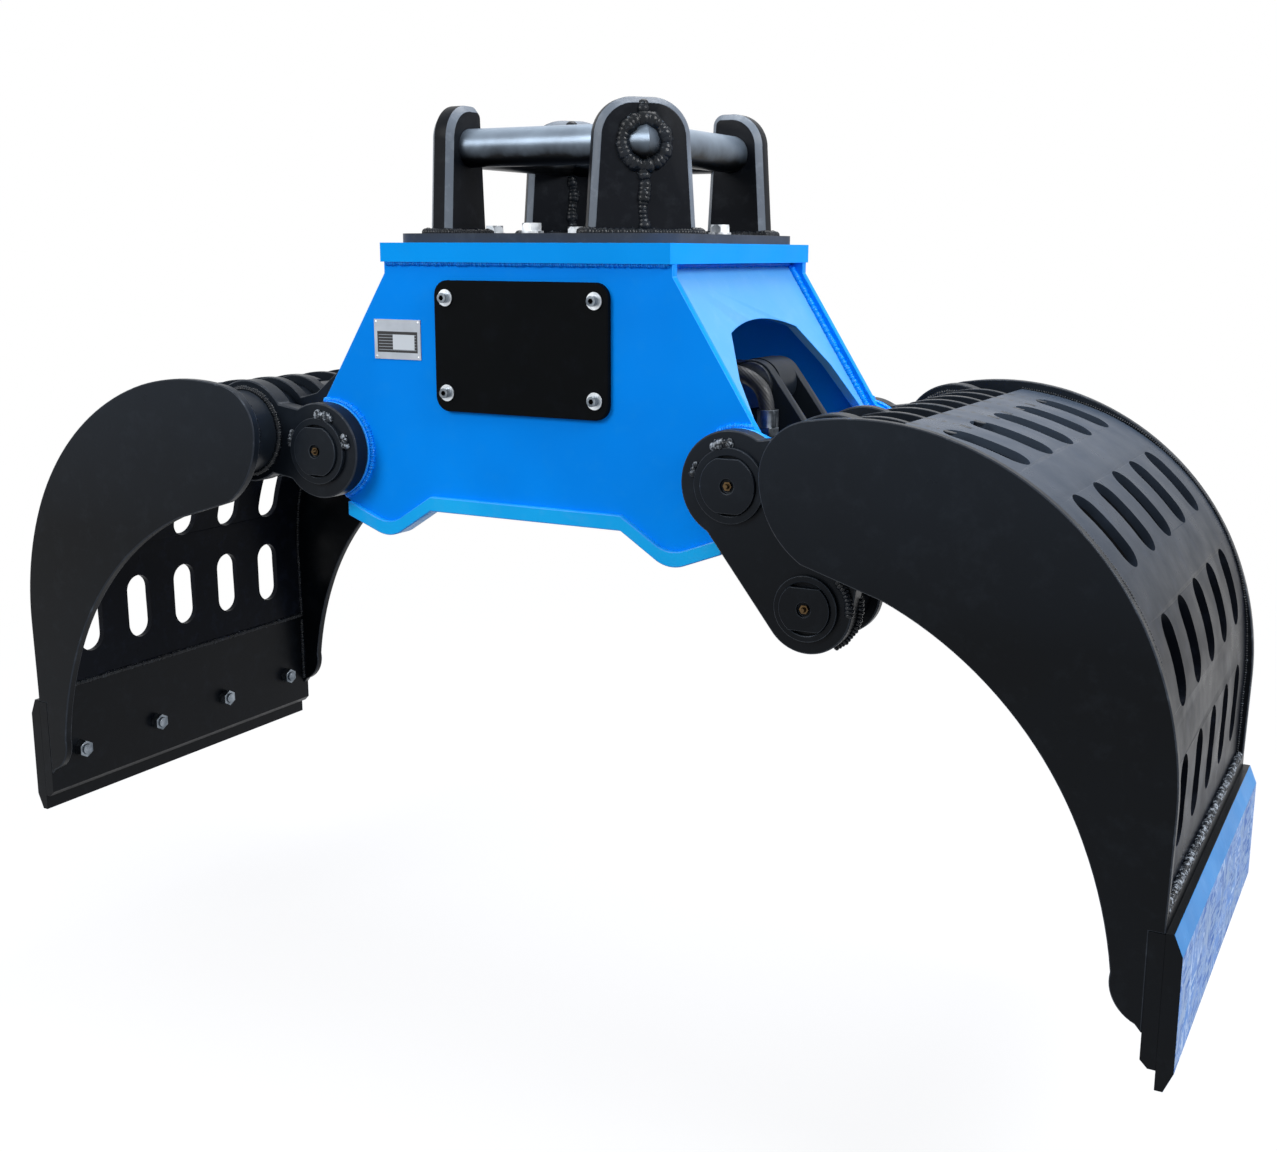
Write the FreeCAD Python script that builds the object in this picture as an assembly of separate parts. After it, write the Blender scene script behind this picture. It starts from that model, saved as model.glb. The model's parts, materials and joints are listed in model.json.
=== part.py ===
import FreeCAD, Part
import math
import os

os.makedirs("parts", exist_ok=True)

# Sorting grapple, standing on the tips of its two fully opened jaws.
# X runs across both jaws, Y along the jaw width, Z is up.
# Shapes are drawn with Z = 0 at the top face of the deck plate, and save() lifts them
# so that the tips of the jaws stand at Z = 0.

V = FreeCAD.Vector

# Body: deck, side plates and end plates
deck_x = 437.0
deck_y = 428.0
deck_t = 25.0
body_depth = 414.0
plate_t = 12.0
shoulder_x = 218.0
shoulder_z = -40.0
slope_end_x = 334.0
slope_end_z = -223.0
belly_z = -337.0
belly_half = 148.0
lobe_in_x = 196.0
lobe_in_drop = 31.0
lobe_x = 216.0
lobe_drop = 39.0
lobe_out_x = 237.0
lobe_out_drop = 37.0
belly_end_x = 290.0
belly_end_drop = 17.0
flange_h = 20.0
flange_out = 6.0
flange_in = 12.0
end_inset = 12.0
end_leg_z = -240.0
window_top = -97.0
window_corner = (104.0, -111.0)
window_side = (150.0, -165.0)
window_low = (188.0, -260.0)
link_window_top = -78.0
link_window_gap = 7.0
cover_x = 264.0
cover_z0 = -219.0
cover_z1 = -48.0
cover_t = 8.0
cover_r = 20.0
cover_side_margin = 50.0
cover_end_margin = 17.0
cover_bevel = 1.5
cover_screw_x = 113.0
cover_screw_top = -70.5
cover_screw_low = -194.4
screw_head_r = 6.5
screw_head_h = 8.0
screw_socket_r = 3.2
screw_socket_depth = 4.5
screw_washer_r = 11.0
screw_washer_t = 1.6
screw_shank_r = 4.0
tag_x0 = -237.0
tag_x1 = -160.0
tag_z0 = -154.0
tag_z1 = -101.0
tag_t = 1.5

# Head: base plate, four ears and a square of four hitch pins
head_side = 414.0
head_t = 12.0
head_r = 43.0
ear_top = 178.0
ear_t = 30.0
ear_w = 142.0
ear_r = 50.0
ear_taper = 8.0
side_ear_w = 92.0
side_ear_t = 34.0
side_ear_shift = 6.0
side_ear_outer = 22.0
side_ear_out_r = 46.0
side_ear_in_r = 16.0
ear_chamfer = 8.0
diagonal_ear_over = 11.667
hitch_half = 136.0
hitch_z = 123.0
hitch_r = 25.0
head_bolt_at = 180.0
head_ear_gap = 3.437
head_bolt_r = 8.0
head_bolt_af = 24.0
head_bolt_h = 10.0
head_dome_low = 17.0
head_dome_top = 12.0
head_washer_r = 15.0
head_washer_t = 3.0
bolt_clearance = 0.1

# Jaw pivots
pivot_x = 314.5
pivot_z = -282.0
pivot_r = 30.0
running = 0.06
bush_wall = 6.0
boss_r = 50.0
boss_ring_r = 66.0
boss_ring_t = 8.0
ring_step = 2.0
boss_tube = 57.0
arm_gap = 1.0
arm_t = 25.0
arm_boss_r = 66.0
collar_r = 46.0
collar_t = 6.0
collar_gap = 0.3
pin_head_r = 36.0
pin_head_flat = 33.0
pin_head_t = 10.0
nipple_af = 10.0
nipple_base = 3.6
nipple_low_r = 3.5
nipple_top_r = 2.2
nipple_stem = 4.4
nipple_recess_r = 9.0
nipple_recess = 5.0

# Jaws, drawn fully open
jaw_width = 600.0
side_t = 12.0
tube_x = 443.0
tube_z = -262.0
tube_r = 58.0
tube_wall = 12.0
tube_arm_r = 72.0
neck_r = 50.0
shell_t = 10.0
slot_pitch = 101.8
slot_count = 5
slot_len = 103.0
slot_w = 48.0
lip_t = 17.0
lip_x = 836.0
lip_z1 = -690.0
lip_z0 = -863.0
lip_back = 17.0
jaw_foot_z = -825.0
blade_t = 19.0
blade_z1 = -705.0
blade_z0 = -886.0
blade_bevel = 24.0
blade_land = 9.0
blade_bolt_z = -798.0
blade_bolt_pitch = 160.0
blade_bolt_count = 4
blade_bolt_r = 8.0
blade_bolt_over = 3.0
nut_af = 24.0
nut_h = 13.0
rib_count = 8
rib_t = 10.0
rib_gap = 8.0
rib_rise = 4.0
rib_tip = (576.0, -208.0)
rib_root = (628.0, -292.0)
rib_crest = (480.0, -194.0)
rib_heel = (548.0, -292.0)
jaw_outer_edge = (((500.0, -187.0), (586.0, -199.0)), ((725.0, -274.0), (811.0, -383.0)),
                  ((846.0, -482.0), (855.0, -590.0)))
jaw_inner_edge = (((806.0, -798.0), (799.0, -763.0)), ((787.0, -699.0), (762.0, -624.0)),
                  ((673.0, -487.0), (527.0, -386.0)), ((478.0, -371.0), (431.0, -356.0)))
jaw_heel = (391.0, -313.0)
jaw_nose = 66.0
jaw_nose_via = (391.5, -217.0)
jaw_nose_top = (437.0, -192.0)
jaw_foot = (828.0, -816.0)
shell_edge = ((520.0, -199.0), (561.5, -205.0), (640.0, -228.0), (709.0, -267.0), (771.0, -326.0),
              (810.0, -387.0), (836.0, -462.0), (845.0, -540.0), (845.0, -600.0), (844.0, -690.0))
slot_rows = (((561.5, -205.0), (660.0, -235.5)), ((709.0, -266.5), (782.0, -338.0)),
             ((812.0, -387.0), (841.0, -485.0)), ((847.0, -540.0), (845.0, -644.0)))

# Cylinder between the two upper lugs
lug_r = 120.0
lug_open_deg = 122.25
lug_eye_r = 33.0
lug_t = 18.0
lug_gap = 1.5
lug_hub_r = 42.0
eye_w = 52.0
eye_r = 34.0
eye_neck = 27.0
eye_pin_r = 22.5
eye_pin_over = 8.0
eye_pin_head_r = 30.0
eye_pin_head_t = 6.0
eye_bush_wall = 4.0
barrel_r = 55.0
barrel_bore = 45.0
barrel_end = 78.0
barrel_head = 45.0
barrel_cap = 25.0
gland_len = 50.0
gland_flange = 12.0
gland_r = 60.0
rod_r = 25.0
piston_len = 40.0
piston_stand = 2.0
groove_w = 6.0
groove_depth = 4.0
port_boss_r = 19.0
port_boss_h = 20.0
port_r = 10.5
port_depth = 16.0
port_feed_r = 7.5
port_inset = 22.5

# Sync link between the lower pin of the right jaw and the upper lug of the left jaw
low_pin_x = 416.0
low_pin_z = -420.0
low_pin_r = 25.0
low_boss_r = 56.0
low_neck_r = 60.0
low_collar_r = 40.0
low_head_r = 32.0
low_head_flat = 26.0
low_tail_r = 31.0
low_tail_t = 8.0
swing_deg = 64.5
link_off_rib = 12.0
link_t = 30.0
link_eye_r = 42.0
link_far_r = 36.0
link_half = 22.0
link_cheek_t = 15.0
link_cheek_gap = 3.0
link_cheek_r = 54.0
link_top_r = 31.0
link_cheek_half = 17.0
link_root_r = 30.0
link_cheek_clear = 69.0
link_top_pin_r = 18.0
link_pin_over = 2.0
sleeve_r = 29.0
sleeve_gap = 0.5

# Hose on the front of the barrel, with a ferrule at each end and a steel line to the cap end
hose_r = 10.0
hose_y = -66.0
hose_route = ((284.0, -233.0), (284.0, -193.0), (261.0, -168.0), (214.0, -158.0),
              (120.0, -155.0), (20.0, -172.0), (-52.0, -216.0), (-118.0, -216.0))
hose_bend_share = 0.45
hose_clearance = 0.1
ferrule_r = 14.0
ferrule_len = 34.0
ferrule_nut = 12.0
ferrule_af = 27.0
ferrule_seat = 10.0
line_r = 7.0
line_corner_z = -259.0
line_bend_share = 0.9
block_len = 32.0
block_half = 16.0
block_x = 148.0
block_z = -228.0

HALF = body_depth / 2
EAR_REACH = hitch_half * math.sqrt(2) + diagonal_ear_over
BOLT_CORNER = (EAR_REACH - ear_t - head_washer_r - head_ear_gap) / math.sqrt(2)
BOSS_IN = HALF - boss_tube
ARM_Y0 = HALF + boss_ring_t + arm_gap
RIB_END = ARM_Y0 - rib_gap - rib_t / 2
RIB_PITCH = 2 * RIB_END / (rib_count - 1)
LINK_Y0 = RIB_PITCH - RIB_END - link_off_rib - link_t / 2
ARM_Y1 = ARM_Y0 + arm_t
PIN_FACE = ARM_Y1 + collar_t
JAW = jaw_width / 2


def cyl_y(x, z, r, y0, y1):
    return Part.makeCylinder(r, y1 - y0, V(x, y0, z), V(0, 1, 0))


def cyl_z(x, y, r, z0, z1):
    return Part.makeCylinder(r, z1 - z0, V(x, y, z0), V(0, 0, 1))


def box(x0, x1, y0, y1, z0, z1):
    return Part.makeBox(x1 - x0, y1 - y0, z1 - z0, V(x0, y0, z0))


def path_xz(start, *steps):
    # Closed outline in the XZ plane: a pair is a line's end, two pairs are an arc's via and end
    edges = []
    here = V(start[0], 0, start[1])
    for step in list(steps) + [start]:
        if isinstance(step[0], tuple):
            via = V(step[0][0], 0, step[0][1])
            there = V(step[1][0], 0, step[1][1])
            edges.append(Part.Arc(here, via, there).toShape())
        else:
            there = V(step[0], 0, step[1])
            if there.distanceToPoint(here) > 1e-6:
                edges.append(Part.LineSegment(here, there).toShape())
        here = there
    return Part.Face(Part.Wire(edges))


def slab(face, y0, y1):
    plate = face.copy()
    plate.translate(V(0, y0, 0))
    return plate.extrude(V(0, y1 - y0, 0))


def bar(a, ra, b, rb, y0, y1):
    # Plate whose outline wraps a circle at a and a circle at b
    dx, dz = b[0] - a[0], b[1] - a[1]
    dist = math.hypot(dx, dz)
    turn = math.atan2(dz, dx)
    open_by = math.acos((ra - rb) / dist)
    points = []
    for centre, r, sign in ((a, ra, 1), (b, rb, 1), (b, rb, -1), (a, ra, -1)):
        ang = turn + sign * open_by
        points.append((centre[0] + r * math.cos(ang), centre[1] + r * math.sin(ang)))
    body = slab(path_xz(*points), y0, y1)
    return body.fuse([cyl_y(a[0], a[1], ra, y0, y1), cyl_y(b[0], b[1], rb, y0, y1)]).removeSplitter()


def hexagon(x, y, af, z0, z1):
    r = af / math.sqrt(3)
    ring = [V(x + r * math.cos(math.radians(60 * i)), y + r * math.sin(math.radians(60 * i)), z0)
            for i in range(6)]
    return Part.Face(Part.makePolygon(ring + ring[:1])).extrude(V(0, 0, z1 - z0))


def mirror_x(shape):
    return shape.mirror(V(0, 0, 0), V(1, 0, 0))


def mirror_y(shape):
    return shape.mirror(V(0, 0, 0), V(0, 1, 0))


def group(shapes):
    solids = []
    for shape in shapes:
        solids += shape.Solids
    return Part.Compound(solids)


# Blade: the lowest piece, whose tip sets the standing height
def make_blade():
    x0 = lip_x + lip_t
    x1 = x0 + blade_t
    face = path_xz((x0, blade_z1), (x0 + blade_land, blade_z1), (x1, blade_z1 - blade_bevel),
                   (x1, blade_z0 + blade_bevel), (x0 + blade_land, blade_z0), (x0, blade_z0))
    blade = slab(face, -JAW, JAW)
    holes = [blade_bolt(y, blade_bolt_r + bolt_clearance, True) for y in blade_bolt_rows()]
    return blade.cut(holes)


def blade_bolt_rows():
    first = -blade_bolt_pitch * (blade_bolt_count - 1) / 2
    return [first + i * blade_bolt_pitch for i in range(blade_bolt_count)]


def blade_bolt(y, r, hole=False):
    # Countersunk bolt: head flush in the blade's outer face, nut on the lip's inner face
    outer = lip_x + lip_t + blade_t
    inner = lip_x - (0 if hole else nut_h + blade_bolt_over)
    shank = Part.makeCylinder(r, outer - inner, V(inner, y, blade_bolt_z), V(1, 0, 0))
    cone_h = r
    cone = Part.makeCone(r, 2 * r, cone_h, V(outer - cone_h, y, blade_bolt_z), V(1, 0, 0))
    return shank.fuse(cone)


def make_blade_bolts():
    return group([blade_bolt(y, blade_bolt_r) for y in blade_bolt_rows()])


def make_blade_nuts():
    nuts = []
    for y in blade_bolt_rows():
        nut = hexagon(0, 0, nut_af, 0, nut_h)
        nut = nut.cut(cyl_z(0, 0, blade_bolt_r + bolt_clearance, -1, nut_h + 1))
        nut.rotate(V(0, 0, 0), V(0, 1, 0), -90)
        nut.translate(V(lip_x, y, blade_bolt_z))
        nuts.append(nut)
    return group(nuts)


STAND = -make_blade().BoundBox.ZMin
saved = {}


def save(name, shape):
    shape = shape.copy()
    shape.translate(V(0, 0, STAND))
    shape.exportStep("parts/" + name + ".step")
    saved[name] = shape


def save_pair(name, shape):
    # Pieces that both jaws have: drawn on the right, mirrored for the left
    save(name + "_right", shape)
    save(name + "_left", mirror_x(shape))


# Head
def head_bolt_places():
    a, c = head_bolt_at, BOLT_CORNER
    return [(0, -a), (a, 0), (0, a), (-a, 0), (c, -c), (-c, c)]


def make_head_plate():
    h = head_side / 2
    plate = box(-h, h, -h, h, 0, head_t)
    upright = [e for e in plate.Edges if e.BoundBox.ZLength > head_t / 2]
    plate = plate.makeFillet(head_r, upright)
    holes = [cyl_z(x, y, head_bolt_r + bolt_clearance, -1, head_t + 1) for x, y in head_bolt_places()]
    return plate.cut(holes)


def make_head_bolts():
    bolts = []
    top = head_t + head_washer_t
    for x, y in head_bolt_places():
        head = hexagon(x, y, head_bolt_af, top, top + head_bolt_h)
        dome = Part.makeCone(head_dome_low, head_dome_top, head_bolt_h, V(x, y, top), V(0, 0, 1))
        bolts.append(head.common(dome).fuse(cyl_z(x, y, head_bolt_r, -deck_t, top)))
        washer = cyl_z(x, y, head_washer_r, head_t, top)
        bolts.append(washer.cut(cyl_z(x, y, head_bolt_r + bolt_clearance, head_t, top)))
    return group(bolts)


def hitch_pin(turns):
    # One side of the square, mitred at both corners
    reach = hitch_half + hitch_r
    pin = Part.makeCylinder(hitch_r, 2 * reach, V(-reach, -hitch_half, hitch_z), V(1, 0, 0))
    far = 2 * reach
    wedge = Part.Face(Part.makePolygon([V(0, 0, 0), V(-far, -far, 0), V(far, -far, 0), V(0, 0, 0)]))
    pin = pin.common(wedge.extrude(V(0, 0, ear_top)))
    pin.rotate(V(0, 0, 0), V(0, 0, 1), 90 * turns)
    return pin


def ear_plate(width, thick, left_r, right_r):
    # Upright plate across X, its outer face at Y = 0, narrower at the top and rounded at two corners
    half = width / 2
    top = half - ear_taper
    left_q = left_r * (1 - math.sqrt(0.5))
    right_q = right_r * (1 - math.sqrt(0.5))
    face = path_xz((-half, head_t), (half, head_t), (top, ear_top - right_r),
                   ((top - right_q, ear_top - right_q), (top - right_r, ear_top)), (-top + left_r, ear_top),
                   ((-top + left_q, ear_top - left_q), (-top, ear_top - left_r)))
    plate = slab(face, 0, thick)
    rim = [e for e in plate.Edges if e.BoundBox.YLength < 0.01 and e.BoundBox.ZMax > head_t + 1]
    return plate.makeChamfer(ear_chamfer, rim)


def make_diagonal_ears(pins):
    # Two ears across the front right and the rear left corner
    ears = []
    for turn in (45, 225):
        ear = ear_plate(ear_w, ear_t, ear_r, ear_r)
        ear.translate(V(0, -EAR_REACH, 0))
        ear.rotate(V(0, 0, 0), V(0, 0, 1), turn)
        ears.append(ear.cut(pins))
    return group(ears)


def make_side_ear(shift, left_r, right_r, turn, pins):
    ear = ear_plate(side_ear_w, side_ear_t, left_r, right_r)
    ear.translate(V(shift, -hitch_half - side_ear_outer, 0))
    ear.rotate(V(0, 0, 0), V(0, 0, 1), turn)
    return ear.cut(pins)


# Body
def make_deck():
    deck = box(-deck_x / 2, deck_x / 2, -deck_y / 2, deck_y / 2, -deck_t, 0)
    holes = [cyl_z(x, y, head_bolt_r + bolt_clearance, -deck_t - 1, 1) for x, y in head_bolt_places()]
    return deck.cut(holes)


def belly(drop):
    # Right half of the lower outline, from the middle outwards: corner, lobe's arc, end
    z = belly_z - drop
    return [(belly_half, z), (lobe_in_x, z - lobe_in_drop),
            ((lobe_x, z - lobe_drop), (lobe_out_x, z - lobe_out_drop)), (belly_end_x, z - belly_end_drop)]


def flipped(point):
    return (-point[0], point[1])


def belly_line(drop):
    # The whole lower outline from left to right, as a start point and path steps
    corner, inner, (low, outer), end = belly(drop)
    left = [flipped(outer), (flipped(low), flipped(inner)), flipped(corner)]
    return flipped(end), left + [corner, inner, (low, outer), end]


def belly_line_back(drop):
    # The same outline from right to left
    corner, inner, (low, outer), end = belly(drop)
    left = [flipped(corner), flipped(inner), (flipped(low), flipped(outer)), flipped(end)]
    return [end, outer, (low, inner), corner] + left


def belly_face():
    start, steps = belly_line(flange_h)
    return path_xz(start, *(steps + belly_line_back(0)))


def side_face():
    # Lower outline, then round both pivots and up the slopes to the deck
    r = boss_ring_r - ring_step

    def on_ring(sign, deg):
        turn = math.radians(deg)
        return (sign * (pivot_x + r * math.cos(turn)), pivot_z + r * math.sin(turn))

    start, steps = belly_line(0)
    steps += [on_ring(1, -100), (on_ring(1, -20), (slope_end_x, slope_end_z)), (shoulder_x, shoulder_z),
              (shoulder_x, -deck_t), (-shoulder_x, -deck_t), (-shoulder_x, shoulder_z),
              (-slope_end_x, slope_end_z), (on_ring(-1, -20), on_ring(-1, -100))]
    return path_xz(start, *steps)


def cover_opening(y0, y1):
    x = cover_x / 2 - cover_side_margin
    return box(-x, x, y0, y1, cover_z0 + cover_end_margin, cover_z1 - cover_end_margin)


def cover_screw_places():
    return [(x, z) for x in (-cover_screw_x, cover_screw_x) for z in (cover_screw_low, cover_screw_top)]


def make_side_plate():
    # Front plate: outer face at Y = -HALF
    plate = slab(side_face(), -HALF, -HALF + plate_t)
    cuts = [cyl_y(sx * pivot_x, pivot_z, boss_r, -HALF - 1, -HALF + plate_t + 1) for sx in (-1, 1)]
    cuts.append(cover_opening(-HALF - 1, -HALF + plate_t + 1))
    cuts += [cyl_y(x, z, screw_shank_r + bolt_clearance, -HALF - 1, -HALF + plate_t + 1)
             for x, z in cover_screw_places()]
    return plate.cut(cuts)


def make_flange():
    return slab(belly_face(), -HALF - flange_out, -HALF + plate_t + flange_in)


def make_end_plate(link_side):
    # Right end plate, sloping outwards and down, with its window open at the bottom
    run = (slope_end_x - shoulder_x) / (shoulder_z - slope_end_z)
    lean = math.sqrt(1 + run * run)

    def x_at(z, inset):
        return shoulder_x + (shoulder_z - z) * run - inset * lean

    outer, inner = end_inset, end_inset + plate_t
    face = path_xz((x_at(-deck_t, outer), -deck_t), (x_at(end_leg_z, outer), end_leg_z),
                   (x_at(end_leg_z, inner), end_leg_z), (x_at(-deck_t, inner), -deck_t))
    inside = HALF - plate_t
    plate = slab(face, -inside, inside)
    far_x = 2 * slope_end_x
    corner, side, low = window_corner, window_side, window_low
    arch = path_xz((-corner[0], corner[1]), ((0.0, window_top), corner), side, low,
                   (-low[0], low[1]), (-side[0], side[1]))
    window = slab(arch, -far_x, 0)
    window.rotate(V(0, 0, 0), V(0, 0, 1), 90)
    cuts = [window, cyl_y(pivot_x, pivot_z, boss_r + 0.5, -inside - 1, -BOSS_IN + 1),
            cyl_y(pivot_x, pivot_z, boss_r + 0.5, BOSS_IN - 1, inside + 1)]
    if link_side:
        y0 = LINK_Y0 - link_cheek_gap - link_cheek_t - link_window_gap / 2
        cuts.append(box(0, far_x, max(y0, -inside - 1), 0, low[1], link_window_top))
    return plate.cut(cuts)


def make_pivot_bosses():
    bosses = []
    for sx in (-1, 1):
        x = sx * pivot_x
        boss = cyl_y(x, pivot_z, boss_r, -HALF, -BOSS_IN)
        boss = boss.fuse(cyl_y(x, pivot_z, boss_ring_r, -HALF - boss_ring_t, -HALF)).removeSplitter()
        bosses.append(boss.cut(cyl_y(x, pivot_z, pivot_r + bush_wall, -HALF - boss_ring_t - 1, 0)))
    return bosses + [mirror_y(b) for b in bosses]


def make_pivot_bushes():
    bushes = []
    for sx in (-1, 1):
        x = sx * pivot_x
        outer = cyl_y(x, pivot_z, pivot_r + bush_wall, -HALF - boss_ring_t, -BOSS_IN)
        bushes.append(outer.cut(cyl_y(x, pivot_z, pivot_r + running, -HALF - boss_ring_t - 1, 0)))
    return bushes + [mirror_y(b) for b in bushes]


def make_cover():
    y1 = -HALF
    y0 = y1 - cover_t
    cover = box(-cover_x / 2, cover_x / 2, y0, y1, cover_z0, cover_z1)
    upright = [e for e in cover.Edges if e.BoundBox.YLength > cover_t / 2]
    cover = cover.makeFillet(cover_r, upright)
    rim = [e for e in cover.Edges if abs(e.BoundBox.YMax - y0) < 0.01]
    cover = cover.makeChamfer(cover_bevel, rim)
    return cover.cut([cyl_y(x, z, screw_shank_r + bolt_clearance, y0 - 1, y1 + 1)
                      for x, z in cover_screw_places()])


def make_cover_screws():
    pieces = []
    face = -HALF - cover_t
    for x, z in cover_screw_places():
        seat = face - screw_washer_t
        washer = cyl_y(x, z, screw_washer_r, seat, face)
        pieces.append(washer.cut(cyl_y(x, z, screw_shank_r + bolt_clearance, seat - 1, face + 1)))
        screw = cyl_y(x, z, screw_head_r, seat - screw_head_h, seat)
        screw = screw.fuse(cyl_y(x, z, screw_shank_r, seat, -HALF + plate_t))
        socket = hexagon(0, 0, 2 * screw_socket_r, 0, screw_socket_depth)
        socket.rotate(V(0, 0, 0), V(1, 0, 0), -90)
        socket.translate(V(x, seat - screw_head_h, z))
        pieces.append(screw.cut(socket))
    return group(pieces)


def make_tag():
    return box(tag_x0, tag_x1, -HALF - tag_t, -HALF, tag_z0, tag_z1)


# Jaw shell, drawn on the right
def side_outline():
    left = (tube_x - jaw_nose, tube_z)
    lip_top = lip_z1 - lip_back
    return path_xz(left, (jaw_nose_via, jaw_nose_top), *jaw_outer_edge,
                   (lip_x + lip_t, lip_z1), (lip_x + lip_t, lip_top), (lip_x, lip_top),
                   (lip_x, jaw_foot_z), jaw_foot, *jaw_inner_edge, (jaw_heel, left))


def shell_line(offset):
    # Outer line of the shell plate, pushed inwards by offset along each point's own normal
    last = len(shell_edge) - 1
    line = []
    for i, (x, z) in enumerate(shell_edge):
        before, after = shell_edge[max(i - 1, 0)], shell_edge[min(i + 1, last)]
        dx, dz = after[0] - before[0], after[1] - before[1]
        size = math.hypot(dx, dz)
        line.append((x + offset * dz / size, z - offset * dx / size))
    return line


def make_shell():
    outer, inner = shell_line(0), shell_line(shell_t)[::-1]
    steps = [(outer[i], outer[i + 1]) for i in (1, 3, 5, 7)] + [outer[9], inner[0]]
    steps += [(inner[i], inner[i + 1]) for i in (1, 3, 5, 7)] + [inner[9]]
    inside = JAW - side_t
    shell = slab(path_xz(outer[0], *steps), -inside, inside)
    slots = []
    for (x0, z0), (x1, z1) in slot_rows:
        for k in range(slot_count):
            y = (k - (slot_count - 1) / 2) * slot_pitch
            slots.append(slot_cutter(x0, z0, x1, z1, y))
    return shell.cut(slots).cut(make_ribs().Solids)


def slot_cutter(x0, z0, x1, z1, y):
    # Stadium along the plate's line, cutting square through it
    length = math.hypot(x1 - x0, z1 - z0)
    turn = math.atan2(z1 - z0, x1 - x0)
    half = slot_w / 2
    straight = (length - slot_w) / 2
    deep = 4 * shell_t
    tool = box(-straight, straight, -half, half, -deep, deep)
    tool = tool.fuse([cyl_z(-straight, 0, half, -deep, deep), cyl_z(straight, 0, half, -deep, deep)])
    tool.rotate(V(0, 0, 0), V(0, 1, 0), -math.degrees(turn))
    tool.translate(V((x0 + x1) / 2, y, (z0 + z1) / 2))
    return tool


def make_lip():
    # Full width below the step; above it, it stands between the side plates
    inside = JAW - side_t
    lip = box(lip_x, lip_x + lip_t, -JAW, JAW, lip_z0, lip_z1 - lip_back)
    lip = lip.fuse(box(lip_x, lip_x + lip_t, -inside, inside, lip_z0, lip_z1)).removeSplitter()
    edge = [e for e in lip.Edges if e.BoundBox.YLength > jaw_width - 1 and e.BoundBox.ZMax < lip_z0 + 1
            and e.BoundBox.XMax < lip_x + 1]
    lip = lip.makeChamfer(lip_t / 2, edge)
    return lip.cut([blade_bolt(y, blade_bolt_r + bolt_clearance, True) for y in blade_bolt_rows()])


def make_tube():
    inside = JAW - side_t
    tube = cyl_y(tube_x, tube_z, tube_r, -inside, inside)
    return tube.cut(cyl_y(tube_x, tube_z, tube_r - tube_wall, -inside - 1, inside + 1))


def make_ribs():
    # Upright webs from the torque tube to the shell, each ending in a tip let into the shell
    outer, inner = shell_line(0), shell_line(shell_t)
    face = path_xz((tube_x, tube_z), (tube_x, tube_z + tube_r + rib_rise),
                   (rib_crest, outer[0]), (outer[1], rib_tip), inner[1], (inner[2], inner[3]),
                   rib_root, (rib_heel, (tube_x + tube_r - 2, tube_z)))
    tube = cyl_y(tube_x, tube_z, tube_r, -JAW, JAW)
    ribs = []
    for i in range(rib_count):
        y = i * RIB_PITCH - RIB_END
        ribs.append(slab(face, y - rib_t / 2, y + rib_t / 2).cut(tube))
    return group(ribs)


def lower_arm(y0, y1):
    low = (low_pin_x, low_pin_z)
    outer = bar((pivot_x, pivot_z), low_neck_r, low, low_boss_r, y0, y1)
    return outer.fuse(bar((tube_x, tube_z), neck_r, low, low_boss_r, y0, y1))


def make_arm(with_lower):
    # Front arm plate with its pivot boss; the torque tube passes through it
    y0, y1 = -ARM_Y1, -ARM_Y0
    arm = bar((pivot_x, pivot_z), neck_r, (tube_x, tube_z), neck_r, y0, y1)
    arm = arm.fuse([cyl_y(pivot_x, pivot_z, arm_boss_r, y0, y1), cyl_y(tube_x, tube_z, tube_arm_r, y0, y1)])
    if with_lower:
        spacer = cyl_y(low_pin_x, low_pin_z, sleeve_r, y1, LINK_Y0 - sleeve_gap)
        arm = arm.fuse([lower_arm(y0, y1), spacer])
        arm = arm.cut(cyl_y(low_pin_x, low_pin_z, low_pin_r, y0 - 1, 0))
    arm = arm.cut([cyl_y(pivot_x, pivot_z, pivot_r, y0 - 1, y1 + 1),
                   cyl_y(tube_x, tube_z, tube_r, y0 - 1, y1 + 1)])
    return arm.removeSplitter()


def pin_head(x, z, r, flat, y0, y1):
    # Disc with a flat at its top and its bottom, facing the front
    disc = cyl_y(x, z, r, y0, y1)
    disc = disc.common(box(x - r, x + r, y0, y1, z - flat, z + flat))
    return disc.cut(cyl_y(x, z, nipple_recess_r, y0 - 1, y0 + nipple_recess))


def make_pivot_pin():
    face = -PIN_FACE - pin_head_t + collar_t
    pin = cyl_y(pivot_x, pivot_z, pivot_r, -ARM_Y1, ARM_Y1)
    head = pin_head(pivot_x, pivot_z, pin_head_r, pin_head_flat, face, -ARM_Y1)
    return pin.fuse([head, mirror_y(head)]).removeSplitter()


def make_collar(x, z, r, hole):
    collar = cyl_y(x, z, r, -PIN_FACE, -ARM_Y1)
    return collar.cut(cyl_y(x, z, hole + collar_gap, -PIN_FACE - 1, -ARM_Y1 + 1))


def make_nipple(x, z):
    # Grease nipple in the middle of a pin head, pointing to the front
    y0 = -PIN_FACE - pin_head_t + collar_t + nipple_recess
    base = hexagon(0, 0, nipple_af, 0, nipple_base)
    stem = Part.makeCone(nipple_low_r, nipple_top_r, nipple_stem, V(0, 0, nipple_base), V(0, 0, 1))
    part = base.fuse(stem)
    part.rotate(V(0, 0, 0), V(1, 0, 0), 90)
    part.translate(V(x, y0, z))
    return part


# Cylinder lugs, pins and the cylinder
def lug_point():
    a = math.radians(lug_open_deg)
    return (pivot_x + lug_r * math.cos(a), pivot_z + lug_r * math.sin(a))


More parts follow.
